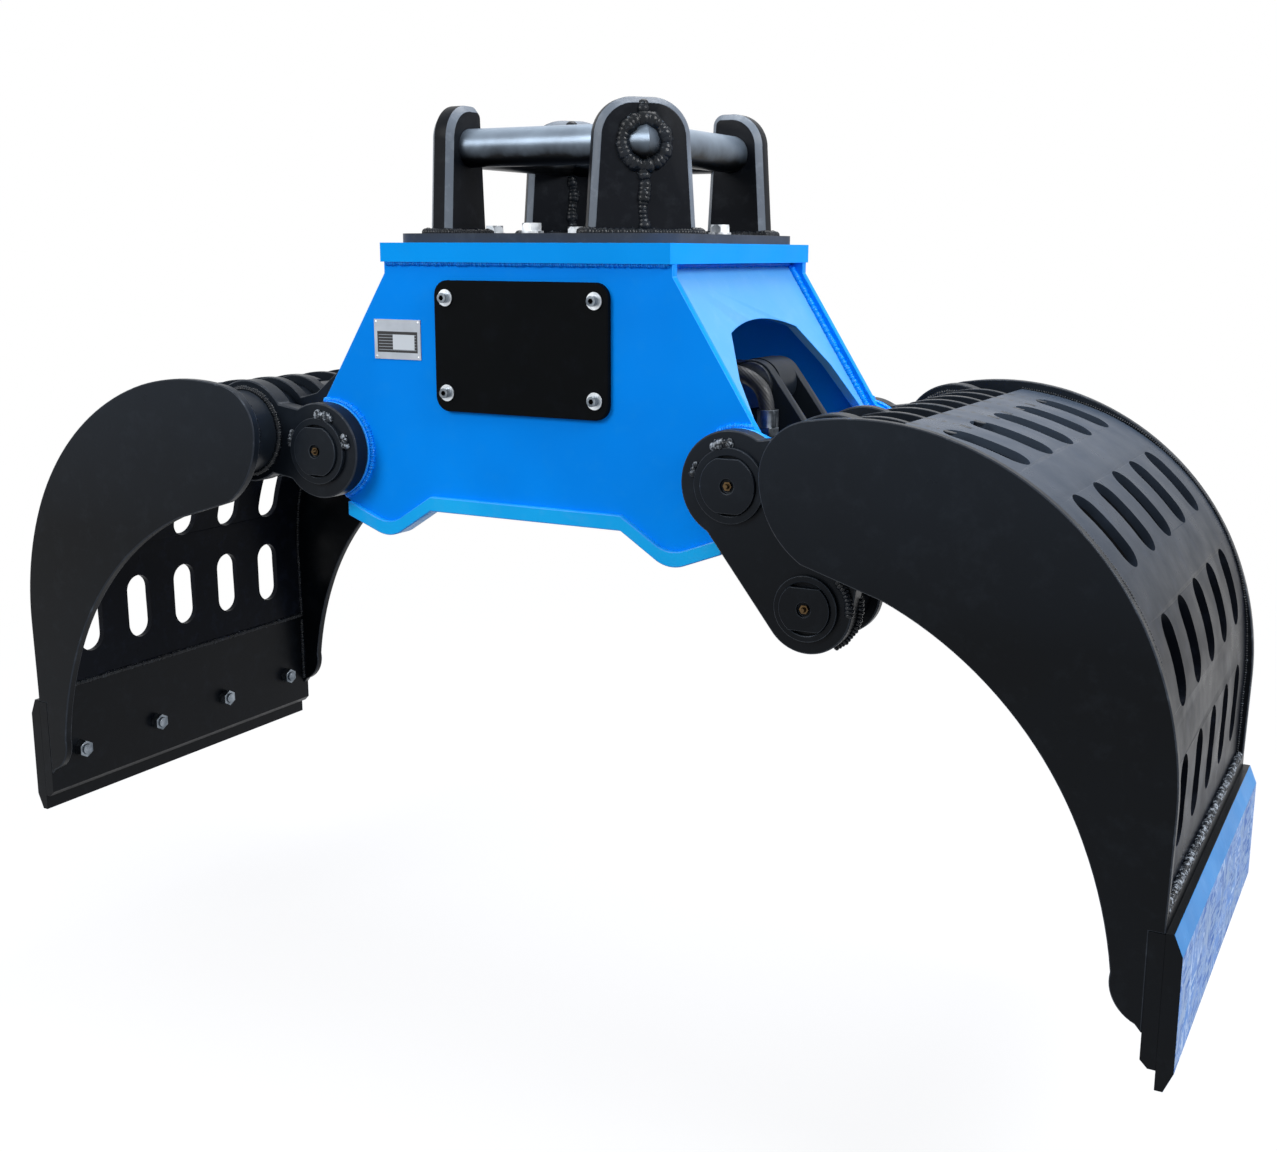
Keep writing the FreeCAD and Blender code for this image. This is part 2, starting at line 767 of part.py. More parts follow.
def make_cylinder_lugs():
    y0 = eye_w / 2 + lug_gap
    y1 = y0 + lug_t
    eye = lug_point()
    plate = bar((pivot_x, pivot_z), lug_hub_r, (tube_x, tube_z), neck_r, y0, y1)
    plate = plate.fuse(bar((pivot_x, pivot_z), lug_hub_r, eye, lug_eye_r, y0, y1)).removeSplitter()
    plate = plate.cut([cyl_y(pivot_x, pivot_z, pivot_r, y0 - 1, y1 + 1),
                       cyl_y(eye[0], eye[1], eye_pin_r, y0 - 1, y1 + 1),
                       cyl_y(tube_x, tube_z, tube_r, y0 - 1, y1 + 1)])
    return group([plate, mirror_y(plate)])


def make_eye_pin():
    x, z = lug_point()
    out = eye_w / 2 + lug_gap + lug_t
    pin = cyl_y(x, z, eye_pin_r, -out, out)
    head = cyl_y(x, z, eye_pin_head_r, out, out + eye_pin_head_t)
    return pin.fuse([head, mirror_y(head)]).removeSplitter()


def eye_bush(x, z):
    half = eye_w / 2
    bush = cyl_y(x, z, eye_pin_r + eye_bush_wall, -half, half)
    return bush.cut(cyl_y(x, z, eye_pin_r + running, -half - 1, half + 1))


def on_axis(x0, x1, r):
    # Round bar along the cylinder's own axis
    return Part.makeCylinder(r, x1 - x0, V(x0, 0, lug_point()[1]), V(1, 0, 0))


def barrel_span():
    # From the gland's face to the cap's face
    x = lug_point()[0]
    return barrel_head - x, x - barrel_end


def make_barrel():
    x, z = lug_point()
    face, cap = barrel_span()
    tip = face + gland_flange
    body = on_axis(tip, cap, barrel_r)
    neck = box(cap - 2, x, -eye_w / 2, eye_w / 2, z - eye_neck, z + eye_neck)
    body = body.fuse([cyl_y(x, z, eye_r, -eye_w / 2, eye_w / 2), neck]).removeSplitter()
    bore = on_axis(tip - 1, cap - barrel_cap, barrel_bore)
    blocks = [port_block(block_x, block_z), port_block(*far_block_place())]
    body = body.fuse(blocks).cut([bore, cyl_y(x, z, eye_pin_r + eye_bush_wall, -eye_w, eye_w)])
    low = z - barrel_r - port_boss_h
    for port_x in port_places():
        boss = cyl_z(port_x, 0, port_boss_r, low, z).cut(bore)
        body = body.fuse(boss).cut([cyl_z(port_x, 0, port_r, low - 1, low + port_depth),
                                    cyl_z(port_x, 0, port_feed_r, low, z)])
    return body.removeSplitter()


def port_places():
    face, cap = barrel_span()
    return [cap - barrel_cap - port_inset, face + gland_len + port_inset]


def make_gland():
    face = barrel_span()[0]
    inner = face + gland_flange
    body = on_axis(face, inner, gland_r).fuse(on_axis(inner, face + gland_len, barrel_bore))
    return body.cut(on_axis(face - 1, face + gland_len + 1, rod_r + running)).removeSplitter()


def piston_span():
    right = barrel_span()[1] - barrel_cap - piston_stand
    return right - piston_len, right


def make_rod():
    x, z = lug_point()
    left, right = piston_span()
    rod = on_axis(-x + eye_pin_r, right, rod_r)
    eye = cyl_y(-x, z, eye_r, -eye_w / 2, eye_w / 2)
    rod = rod.fuse(eye).removeSplitter()
    return rod.cut(cyl_y(-x, z, eye_pin_r + eye_bush_wall, -eye_w, eye_w))


def make_piston():
    left, right = piston_span()
    body = on_axis(left, right, barrel_bore - running)
    for x in (left + 2 * groove_w, right - 2 * groove_w):
        groove = on_axis(x - groove_w / 2, x + groove_w / 2, barrel_bore)
        body = body.cut(groove.cut(on_axis(x - groove_w, x + groove_w, barrel_bore - groove_depth)))
    return body.cut(on_axis(left - 1, right + 1, rod_r))


def round_tube(points, r, bend_share):
    # Straight runs joined by tangent arcs; each arc takes its share of the shorter run beside it
    edges = []
    radii = []
    here = points[0]
    for before, corner, after in zip(points, points[1:], points[2:]):
        back = (before - corner).normalize()
        ahead = (after - corner).normalize()
        reach = bend_share * min((before - corner).Length, (after - corner).Length)
        half_turn = (math.pi - back.getAngle(ahead)) / 2
        bend = reach / math.tan(half_turn)
        middle = corner + (back + ahead).normalize() * (bend / math.cos(half_turn) - bend)
        start, end = corner + back * reach, corner + ahead * reach
        edges += [Part.LineSegment(here, start).toShape(), Part.Arc(start, middle, end).toShape()]
        radii.append(round(bend, 1))
        here = end
    edges.append(Part.LineSegment(here, points[-1]).toShape())
    ring = Part.Wire(Part.Circle(points[0], points[1] - points[0], r).toShape())
    print("bends of radius", radii)
    return Part.Wire(edges).makePipeShell([ring], True, False)


def port_block(x, z):
    # Block welded to the front of the barrel, ending at x; the hose line screws into it
    block = box(x - block_len, x, hose_y - block_half, 0, z - block_half, z + block_half)
    return block.cut(on_axis(x - 2 * block_len, x + block_len, barrel_bore + 1))


def make_hose():
    return round_tube([V(x, hose_y, z) for x, z in hose_route], hose_r, hose_bend_share)


def make_ferrule():
    # Crimped sleeve with its nut, along Z, with the nut's face at Z = 0
    nut = hexagon(0, 0, ferrule_af, 0, ferrule_nut)
    sleeve = cyl_z(0, 0, ferrule_r, ferrule_nut, ferrule_len)
    return nut.fuse(sleeve).cut(cyl_z(0, 0, hose_r + hose_clearance, ferrule_seat, ferrule_len + 1))


def make_hose_fittings():
    # Ferrule at both ends, and the steel line from the barrel's block up to the first one
    near_x, near_z = hose_route[0][0], hose_route[0][1] - ferrule_seat
    far_x, far_z = far_block_place()
    near = make_ferrule()
    near.translate(V(near_x, hose_y, near_z))
    far = make_ferrule()
    far.rotate(V(0, 0, 0), V(0, 1, 0), 90)
    far.translate(V(far_x, hose_y, far_z))
    route = [V(block_x, hose_y, block_z), V(near_x, hose_y, line_corner_z), V(near_x, hose_y, near_z)]
    run = (route[1] - route[0]).normalize()
    route[0] = route[0] - run * line_r
    line = round_tube(route, line_r, line_bend_share).cut(port_block(block_x, block_z))
    return group([near, far, line])


def far_block_place():
    # The second block ends where the nut of the hose's last ferrule begins
    return hose_route[-1][0] - ferrule_seat, hose_route[-1][1]


# Sync link
def low_vector(turn_deg):
    dx, dz = low_pin_x - pivot_x, low_pin_z - pivot_z
    a = math.radians(turn_deg)
    return dx * math.cos(a) - dz * math.sin(a), dx * math.sin(a) + dz * math.cos(a)


def top_pin_point():
    # The upper lug mirrors the lower pin's closed place through the left pivot
    dx, dz = low_vector(-swing_deg)
    return -pivot_x - dx, pivot_z - dz


def link_span():
    return LINK_Y0, LINK_Y0 + link_t


def make_link():
    y0, y1 = link_span()
    low, top = (low_pin_x, low_pin_z), top_pin_point()
    link = bar(low, link_half, top, link_half, y0, y1)
    link = link.fuse([cyl_y(low[0], low[1], link_eye_r, y0, y1), cyl_y(top[0], top[1], link_far_r, y0, y1)])
    link = link.removeSplitter()
    return link.cut([cyl_y(low[0], low[1], low_pin_r + eye_bush_wall, y0 - 1, y1 + 1),
                     cyl_y(top[0], top[1], link_top_pin_r + eye_bush_wall, y0 - 1, y1 + 1)])


def make_link_bushes():
    y0, y1 = link_span()
    bushes = []
    low = (low_pin_x, low_pin_z)
    for (x, z), r, fit in ((low, low_pin_r, running), (top_pin_point(), link_top_pin_r, 0)):
        bush = cyl_y(x, z, r + eye_bush_wall, y0, y1)
        bushes.append(bush.cut(cyl_y(x, z, r + fit, y0 - 1, y1 + 1)))
    return group(bushes)


def make_link_top_pin():
    y0, y1 = link_span()
    x, z = top_pin_point()
    return cyl_y(x, z, link_top_pin_r, y0 - link_pin_over, y1 + link_pin_over)


def cheek_spans():
    y0, y1 = link_span()
    front = y0 - link_cheek_gap
    back = y1 + link_cheek_gap
    return (front - link_cheek_t, front), (back, back + link_cheek_t)


def make_link_cheeks():
    # Upper fork on the left jaw, bent round the pivot boss
    top = top_pin_point()
    tube = (-tube_x, tube_z)
    dx, dz = top[0] - tube[0], top[1] - tube[1]
    size = math.hypot(dx, dz)
    elbow = (-pivot_x - link_cheek_clear * dz / size, pivot_z + link_cheek_clear * dx / size)
    cheeks = []
    for y0, y1 in cheek_spans():
        cheek = bar(tube, link_root_r, elbow, link_cheek_half, y0, y1)
        cheek = cheek.fuse([bar(elbow, link_cheek_half, top, link_cheek_half, y0, y1),
                            cyl_y(top[0], top[1], link_top_r, y0, y1),
                            cyl_y(tube[0], tube[1], tube_arm_r, y0, y1)]).removeSplitter()
        cheeks.append(cheek.cut([cyl_y(tube[0], tube[1], tube_r, y0 - 1, y1 + 1),
                                 cyl_y(top[0], top[1], link_top_pin_r, y0 - 1, y1 + 1)]))
    return group(cheeks)


def make_low_cheek():
    # Inner support of the lower pin on the right jaw
    y0, y1 = cheek_spans()[1]
    cheek = bar((tube_x, tube_z), neck_r, (low_pin_x, low_pin_z), link_cheek_r, y0, y1)
    cheek = cheek.fuse(cyl_y(tube_x, tube_z, tube_arm_r, y0, y1)).removeSplitter()
    return cheek.cut([cyl_y(tube_x, tube_z, tube_r, y0 - 1, y1 + 1),
                      cyl_y(low_pin_x, low_pin_z, low_pin_r, y0 - 1, y1 + 1)])


def make_low_pin():
    face = -PIN_FACE - pin_head_t + collar_t
    back = cheek_spans()[1][1]
    pin = cyl_y(low_pin_x, low_pin_z, low_pin_r, -ARM_Y1, back)
    head = pin_head(low_pin_x, low_pin_z, low_head_r, low_head_flat, face, -ARM_Y1)
    tail = cyl_y(low_pin_x, low_pin_z, low_tail_r, back, back + low_tail_t)
    return pin.fuse([head, tail]).removeSplitter()


def build_head():
    pins = [hitch_pin(turn) for turn in range(4)]
    shift = hitch_half + side_ear_shift
    save("hitch_pins", group(pins))
    save("ears_diagonal", make_diagonal_ears(pins))
    save("ear_front_left", make_side_ear(shift, side_ear_in_r, side_ear_out_r, -90, pins))
    save("ear_rear_right", make_side_ear(-shift, side_ear_out_r, side_ear_in_r, 180, pins))
    save("head_plate", make_head_plate())
    save("head_bolts", make_head_bolts())


def both_sides(piece):
    return group([piece, mirror_y(piece)])


def build_body():
    side = make_side_plate()
    save("deck_plate", make_deck())
    save("body_plate_front", side)
    save("body_plate_rear", mirror_y(side))
    save("belly_flanges", both_sides(make_flange()))
    save("cover_plates", both_sides(make_cover()))
    save("cover_screws", both_sides(make_cover_screws()))
    save("end_plate_right", make_end_plate(False))
    save("end_plate_left", mirror_x(make_end_plate(True)))
    save("pivot_bosses", group(make_pivot_bosses()))
    save("pivot_bushes", group(make_pivot_bushes()))
    save("rating_tag", make_tag())


def build_jaws():
    outer = slab(side_outline(), -JAW, -JAW + side_t)
    save_pair("jaw_side_front", outer)
    save_pair("jaw_side_rear", mirror_y(outer))
    save_pair("jaw_shell", make_shell())
    save_pair("jaw_lip", make_lip())
    save_pair("jaw_blade", make_blade())
    save_pair("blade_bolts", group([make_blade_bolts(), make_blade_nuts()]))
    save_pair("torque_tube", make_tube())
    save_pair("jaw_ribs", make_ribs())
    save_pair("cylinder_lugs", make_cylinder_lugs())
    save_pair("pivot_pin", make_pivot_pin())
    save_pair("lug_pin", make_eye_pin())
    save("arm_front_right", make_arm(True))
    save("arm_rear_right", mirror_y(make_arm(False)))
    save("arms_left", mirror_x(both_sides(make_arm(False))))
    collars = both_sides(make_collar(pivot_x, pivot_z, collar_r, pin_head_r))
    nipples = both_sides(make_nipple(pivot_x, pivot_z))
    save("pin_collars_left", mirror_x(collars))
    save("grease_nipples_left", mirror_x(nipples))
    low_collar = make_collar(low_pin_x, low_pin_z, low_collar_r, low_head_r)
    save("pin_collars_right", group([collars, low_collar]))
    save("grease_nipples_right", group([nipples, make_nipple(low_pin_x, low_pin_z)]))


def build_cylinder():
    x, z = lug_point()
    save("cylinder_barrel", make_barrel())
    save("barrel_eye_bush", eye_bush(x, z))
    save("cylinder_gland", make_gland())
    save("cylinder_hose", make_hose())
    save("hose_fittings", make_hose_fittings())
    save("cylinder_rod", make_rod())
    save("cylinder_piston", make_piston())
    save("rod_eye_bush", eye_bush(-x, z))


def build_link():
    save("sync_link", make_link())
    save("link_bushes", make_link_bushes())
    save("link_top_pin", make_link_top_pin())
    save("link_cheeks", make_link_cheeks())
    save("lower_cheek", make_low_cheek())
    save("lower_pin", make_low_pin())


build_head()
build_body()
build_jaws()
build_cylinder()
build_link()
print(len(saved), "nodes, stands", round(STAND, 1), "mm above the jaw tips")
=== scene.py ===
# %% [markdown]
# A hydraulic sorting grapple hangs from its hitch with both jaws open. The frame holds its
# real solids, each on the body that it moves with. This lesson gives them softened edges,
# weld beads and paint, and then a plain studio around them.

# %% Load the frame
import json
import math
import bmesh
import bpy
from mathutils import Matrix, Vector

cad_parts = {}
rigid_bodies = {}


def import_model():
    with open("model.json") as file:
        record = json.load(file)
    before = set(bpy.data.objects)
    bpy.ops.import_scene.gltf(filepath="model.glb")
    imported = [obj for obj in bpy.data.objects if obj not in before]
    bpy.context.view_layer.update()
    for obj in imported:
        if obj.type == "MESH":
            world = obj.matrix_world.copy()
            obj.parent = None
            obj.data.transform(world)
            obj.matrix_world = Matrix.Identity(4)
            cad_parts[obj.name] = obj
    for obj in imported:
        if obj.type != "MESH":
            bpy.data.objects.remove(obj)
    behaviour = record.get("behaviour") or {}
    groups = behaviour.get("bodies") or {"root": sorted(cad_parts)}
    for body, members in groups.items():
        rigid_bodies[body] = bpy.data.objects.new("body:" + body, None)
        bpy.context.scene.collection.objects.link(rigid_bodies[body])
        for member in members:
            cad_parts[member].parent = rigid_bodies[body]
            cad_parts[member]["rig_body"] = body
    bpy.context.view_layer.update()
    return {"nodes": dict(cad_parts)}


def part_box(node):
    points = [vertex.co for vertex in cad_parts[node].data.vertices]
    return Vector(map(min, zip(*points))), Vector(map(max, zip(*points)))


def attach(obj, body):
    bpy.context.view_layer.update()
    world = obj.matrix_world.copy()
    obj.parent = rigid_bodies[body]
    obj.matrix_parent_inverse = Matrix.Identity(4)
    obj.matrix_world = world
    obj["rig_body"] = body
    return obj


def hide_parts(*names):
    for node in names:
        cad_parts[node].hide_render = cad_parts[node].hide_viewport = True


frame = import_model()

nodes = frame["nodes"]
MM = 0.001

# %% [markdown]
# The camera stands where the photographer stood: low, in front of the right jaw, with the
# deck plate seen almost edge on. Its place is measured from the middle of the deck's top.

# %% Camera
DECK = Vector((0.0, 0.0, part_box("deck_plate")[1][2]))
CAMERA_FROM_DECK = Vector((1.0694, -1.8310, -0.0087))
CAMERA_YAW = math.radians(28.106)
CAMERA_PITCH = math.radians(11.595)
CAMERA_ROLL = math.radians(0.248)
SENSOR = 36.0
FOCAL_SHARE = 1496.1 / 1277


def aim_camera(camera):
    """Turns the camera by yaw, then pitch, then roll about its own line of sight."""
    camera.location = DECK + CAMERA_FROM_DECK
    turn = Matrix.Rotation(CAMERA_YAW, 3, "Z") @ Matrix.Rotation(math.pi / 2 - CAMERA_PITCH, 3, "X")
    camera.rotation_euler = (turn @ Matrix.Rotation(CAMERA_ROLL, 3, "Z")).to_euler()


camera = bpy.data.objects.new("camera", bpy.data.cameras.new("camera"))
bpy.context.scene.collection.objects.link(camera)
camera.data.sensor_width = SENSOR
camera.data.lens = SENSOR * FOCAL_SHARE
camera.data.shift_x = -0.0166
camera.data.shift_y = -0.0146
camera.data.clip_end = 50
aim_camera(camera)
bpy.context.scene.camera = camera
print("camera at", [round(v, 3) for v in camera.location])

# %% [markdown]
# Every material is a small tree of nodes. One function adds a node with its settings and
# links, and one turns the hex colour of a swatch into the linear numbers that light needs.

# %% Node and colour helpers


def linear(swatch):
    """sRGB hex, such as 0088E8, to linear RGBA."""
    parts = [int(swatch[i:i + 2], 16) / 255 for i in (0, 2, 4)]
    return [p / 12.92 if p <= 0.04045 else ((p + 0.055) / 1.055) ** 2.4 for p in parts] + [1.0]


def add(tree, kind, inputs=None, **settings):
    """Adds a node, sets its properties, and fills its inputs with values or links."""
    made = tree.nodes.new(kind)
    for key, value in settings.items():
        setattr(made, key, value)
    for key, value in (inputs or {}).items():
        socket = made.inputs[key]
        if isinstance(value, bpy.types.NodeSocket):
            tree.links.new(value, socket)
        else:
            socket.default_value = value
    return made


def new_material(name):
    """An empty material with its tree, its shader and the place of every point on the object."""
    material = bpy.data.materials.new(name)
    material.use_nodes = True
    tree = material.node_tree
    tree.nodes.clear()
    shader = add(tree, "ShaderNodeBsdfPrincipled")
    add(tree, "ShaderNodeOutputMaterial", {"Surface": shader.outputs[0]})
    place = add(tree, "ShaderNodeTexCoord").outputs["Object"]
    return material, tree, shader, place


def noise(tree, place, size_mm, detail=3.0, rough=0.55, warp=0.0):
    """Noise whose largest blotches are about size_mm across."""
    made = add(tree, "ShaderNodeTexNoise", {"Vector": place, "Scale": 1000.0 / size_mm, "Detail": detail,
                                            "Roughness": rough, "Distortion": warp})
    return made.outputs["Fac"]


def ramp(tree, value, low, high, out_low=0.0, out_high=1.0):
    """Maps low..high of a value to out_low..out_high, held at both ends."""
    made = add(tree, "ShaderNodeMapRange", {"Value": value, "From Min": low, "From Max": high,
                                            "To Min": out_low, "To Max": out_high})
    return made.outputs["Result"]


def mix(tree, share, first, second):
    """Mixes two colours by a share."""
    made = add(tree, "ShaderNodeMix", data_type="RGBA")
    for index, value in ((0, share), (6, first), (7, second)):
        if isinstance(value, bpy.types.NodeSocket):
            tree.links.new(value, made.inputs[index])
        else:
            made.inputs[index].default_value = value
    return made.outputs[2]


def math_node(tree, way, first, second):
    """One sum of two values or links."""
    return add(tree, "ShaderNodeMath", {0: first, 1: second}, operation=way).outputs[0]


def bump(tree, shader, height, strength, depth_mm):
    """Lets a pattern stand up to depth_mm out of the surface."""
    made = add(tree, "ShaderNodeBump", {"Height": height, "Strength": strength, "Distance": depth_mm * MM})
    tree.links.new(made.outputs[0], shader.inputs["Normal"])


print("blue swatch", [round(v, 3) for v in linear("0088E8")])

# %% [markdown]
# Sprayed enamel on plate has a faint orange peel, a few millimetres across. Its tone drifts
# over a hand's width, dust lies in it, and small chips show a darker primer. Parts high up on
# the jaws are painted paler and bluish, a painted sheen for the sky that they mirror. One
# function holds all that, because each paint of the grapple differs only in its colours, its
# shine and its painted sheen. The chips are drawn coarser than real ones, or they would be too
# fine to see.

# %% Enamel paint
PEEL_MM = 5
CHIP_MM = 13
DUST_MM = 26
DRIFT_MM = 190
# The painted sheen on the tops starts 0.42 m below the deck's top and is full from 0.20 m below it.
PAINTED_SHEEN_BELOW_DECK = (0.42, 0.20)


def enamel(name, coat, shade, rough=0.32, chip="20242A", chip_from=0.70, dust="8A8F96",
           dust_share=0.10, shine=0.3, painted_top_sheen=0.0):
    """Sprayed enamel: two tones that drift, orange peel, dust, scattered chips and a painted sheen on top."""
    material, tree, shader, place = new_material(name)
    drift = ramp(tree, noise(tree, place, DRIFT_MM, 2.0), 0.35, 0.65)
    paint = mix(tree, drift, linear(coat), linear(shade))
    specks = ramp(tree, noise(tree, place, DUST_MM, 6.0, 0.65), 0.52, 0.72, 0.0, dust_share)
    paint = mix(tree, specks, paint, linear(dust))
    # Painted sheen: the upper parts are painted paler and bluish, for the sky that glossy tops mirror.
    if painted_top_sheen:
        height = add(tree, "ShaderNodeSeparateXYZ", {0: place}).outputs["Z"]
        low, high = (DECK.z - below for below in PAINTED_SHEEN_BELOW_DECK)
        top = ramp(tree, height, low, high, 0.0, painted_top_sheen)
        paint = mix(tree, top, paint, linear("6A7A8E"))
    chips = ramp(tree, noise(tree, place, CHIP_MM, 5.0, 0.7, 0.4), chip_from, chip_from + 0.02)
    paint = mix(tree, chips, paint, linear(chip))
    tree.links.new(paint, shader.inputs["Base Color"])
    gloss = ramp(tree, noise(tree, place, 60, 4.0), 0.3, 0.7, rough - 0.06, rough + 0.08)
    tree.links.new(gloss, shader.inputs["Roughness"])
    shader.inputs["Specular IOR Level"].default_value = shine
    bump(tree, shader, noise(tree, place, PEEL_MM, 2.0), 0.10, 0.6)
    return material


print("enamel patterns, mm:", PEEL_MM, CHIP_MM, DUST_MM, DRIFT_MM)

# %% [markdown]
# The body is a deep glossy blue. Its deck and flanges catch more sky, and its sloping ends
# shine paler; that light is painted, so each gets a paler copy of the blue, a painted sheen.
# The edges get a paler blue too: paint worn thin there, and a painted highlight.

# %% Blue coats
BLUE_CHIP = {"chip": "0A5CA8", "chip_from": 0.80}
blue_enamel = enamel("blue_enamel", "0092FF", "008AF4", rough=0.38, dust="2AA0F0", shine=0.05,
                     **BLUE_CHIP)
# The deck, the flanges and the end plates get paler copies of the same blue: a painted sheen where they catch
# more sky.
deck_enamel_painted_sheen = enamel("blue_enamel_painted_sheen_on_the_deck", "00A0FF", "0098F4", rough=0.38, dust="2AA0F0",
                     shine=0.06, **BLUE_CHIP)
flange_enamel_painted_sheen = enamel("blue_enamel_painted_sheen_on_the_flanges", "1CB8FF", "0AA8F6", rough=0.34, dust="7CBDF2",
                       shine=0.1, **BLUE_CHIP)
end_enamel_painted_sheen = enamel("blue_enamel_painted_sheen_on_the_end_plates", "5CA6DC", "4C9EDC", rough=0.34, dust="9CCDF2",
                    shine=0.15, **BLUE_CHIP)
# Paler blue on the rounded edges: partly paint worn thin, partly a painted highlight.
blue_rim_painted_highlight = enamel("blue_enamel_worn_with_painted_highlight_on_edges", "2EA6FF", "1A98F4", rough=0.32, dust="9CD0F8",
                  chip="0A5CA8", chip_from=0.78)
print("blue coats made")

# %% [markdown]
# Jaws, ears and cover are black, but not the same black: the cover is matt, the shells have a
# strong painted sheen on top, and the head's plate is painted grey, a painted reflection.

# %% Black coats
# Parts high up are painted paler and bluish, a painted sheen: faint on the black enamel, strong on the shells.
black_enamel = enamel("black_enamel", "090D12", "070A0E", rough=0.33, dust="4A525C", dust_share=0.05,
                      chip="3A4048", chip_from=0.77, shine=0.10, painted_top_sheen=0.06)
shell_enamel = enamel("black_enamel_on_the_shell", "12151B", "0F1218", rough=0.31, dust="56607A",
                      dust_share=0.07, chip="3A4048", chip_from=0.76, shine=0.04, painted_top_sheen=0.30)
head_enamel = enamel("black_enamel_on_the_ears", "12151B", "0E1116", rough=0.38, dust="5B6168",
                     dust_share=0.08, chip="4A5058", chip_from=0.74, shine=0.08)
# The head's plate is painted grey: a painted reflection of the floor in its black gloss, with real dust in it.
plate_enamel_painted_reflection = enamel("black_enamel_painted_grey_reflection_on_the_head_plate", "3A424D", "303741", rough=0.40,
                      dust="6B7178", dust_share=0.15, chip="1A1D22", chip_from=0.72, shine=0.10)
cover_enamel = enamel("black_enamel_on_the_cover", "050709", "040608", rough=0.52, dust="20242E",
                      dust_share=0.10, chip="1A1D26", chip_from=0.80, shine=0.04)
# Paler grey on the rounded edges of the black plates: partly paint worn thin and dusty, partly a painted
# highlight.
rim_enamel_painted_highlight = enamel("black_enamel_worn_with_painted_highlight_on_edges", "2A3038", "20252C", rough=0.36, dust="7A838D",
                    dust_share=0.18, chip="56606B", chip_from=0.66, shine=0.15)
# The ears' bevels are painted pale grey: a painted highlight where they face the sky.
head_rim_painted_highlight = enamel("grey_enamel_painted_highlight_on_the_ear_bevels", "6F7984", "5B646F", rough=0.40, dust="A9B2BC",
                  dust_share=0.25, chip="3A4048", chip_from=0.74)
print("black coats made")

# %% [markdown]
# Zinc plating is a soft silver, brass a warm yellow, and turned pins keep fine rings. A metal
# reads by its reflections, so colour and roughness do the work and bump stays fine.

# %% Bare and plated metals
BLOTCH_MM = 18


def metal(name, light, dark, rough, grain_mm, grain=0.15):
    """Machined or plated metal with two tones and a fine grain."""
    material, tree, shader, place = new_material(name)
    blotch = ramp(tree, noise(tree, place, BLOTCH_MM, 4.0, 0.6), 0.35, 0.65)
    tree.links.new(mix(tree, blotch, linear(light), linear(dark)), shader.inputs["Base Color"])
    tree.links.new(ramp(tree, noise(tree, place, grain_mm * 3), 0.3, 0.7, rough - 0.06, rough + 0.1),
                   shader.inputs["Roughness"])
    shader.inputs["Metallic"].default_value = 1.0
    bump(tree, shader, noise(tree, place, grain_mm, 2.0), grain, 0.3)
    return material


zinc = metal("zinc_plated_steel", "E6EAEE", "B8C0C8", 0.32, 2.0)
dull_zinc = metal("dull_zinc_plated_steel", "9098A0", "5A626A", 0.34, 2.5, 0.25)
# Near-black steel in the screws' sockets: a painted shade in the recess.
socket_painted_shade = metal("steel_painted_shade_in_sockets", "0A0B0C", "060708", 0.6, 2.0)
brass = metal("dirty_brass", "6A5638", "42362A", 0.40, 2.0)
bronze = metal("cast_bronze", "A8763A", "8C5F2C", 0.38, 2.0)
chrome = metal("hard_chrome", "E4E8EC", "D2D8DE", 0.12, 3.0, 0.03)
turned = metal("turned_steel", "8C9298", "6E747B", 0.34, 2.0)
print("plated and bare metals made")

# %% [markdown]
# The four round pins of the hitch are painted pale along their tops, a painted highlight of the
# sky, and near black underneath, a painted shade. So the colour follows the height over the
# pins' middle, and a noise keeps the border ragged.

# %% Oiled steel of the hitch pins
PIN_Z = 123.0
PAINTED_HIGHLIGHT_SPAN = (-14, 22)


def hitch_steel_painted_highlight_and_shade():
    """Oiled dark steel, painted pale along the top of the pins as a highlight and near black below as shade."""
    material, tree, shader, place = new_material("oiled_steel_painted_highlight_and_shade_on_the_hitch_pins")
    height = add(tree, "ShaderNodeSeparateXYZ", {0: place}).outputs["Z"]
    above = math_node(tree, "DIVIDE", math_node(tree, "SUBTRACT", height, DECK.z + PIN_Z * MM), MM)
    ragged = ramp(tree, noise(tree, place, 40, 3.0), 0.3, 0.7, -4, 4)
    # Painted highlight and shade: pale above the pins' middle, near black below it.
    rubbed = ramp(tree, math_node(tree, "ADD", above, ragged), *PAINTED_HIGHLIGHT_SPAN)
    tree.links.new(mix(tree, rubbed, linear("0C0E11"), linear("8F9FB0")), shader.inputs["Base Color"])
    shader.inputs["Metallic"].default_value = 0.75
    shader.inputs["Roughness"].default_value = 0.34
    bump(tree, shader, noise(tree, place, 3, 2.0), 0.08, 0.4)
    return material


pin_steel = hitch_steel_painted_highlight_and_shade()
# The span over which the painted highlight fades in, in mm about the pins' middle.
print("pins rubbed from", PAINTED_HIGHLIGHT_SPAN, "mm about their middle")

# %% [markdown]
# The rating tag is a thin printed aluminium plate. It is left blank here: a dark panel with
# ruled rows and an empty pale field. Plain sums on the object's place in millimetres draw its
# rectangles sharply, without an image.

# %% Blank rating tag
TAG_LEFT = -237.0
TAG_LOW = -154.0
TAG_SIZE = (77.0, 53.0)
PANEL = (5, 72, 9, 37)
RULED = (7, 70, 11, 35)
FIELD = (31, 67, 13, 33)
ROW_PITCH = 4.0
ROW_WIDE = 0.9


def inside(tree, across, up, left, right, low, high):
    """One within a rectangle given in millimetres, nought outside."""
    share = 1.0
    for value, edge, way in ((across, left, "GREATER_THAN"), (across, right, "LESS_THAN"),
                             (up, low, "GREATER_THAN"), (up, high, "LESS_THAN")):
        share = math_node(tree, "MULTIPLY", share, math_node(tree, way, value, edge))
    return share


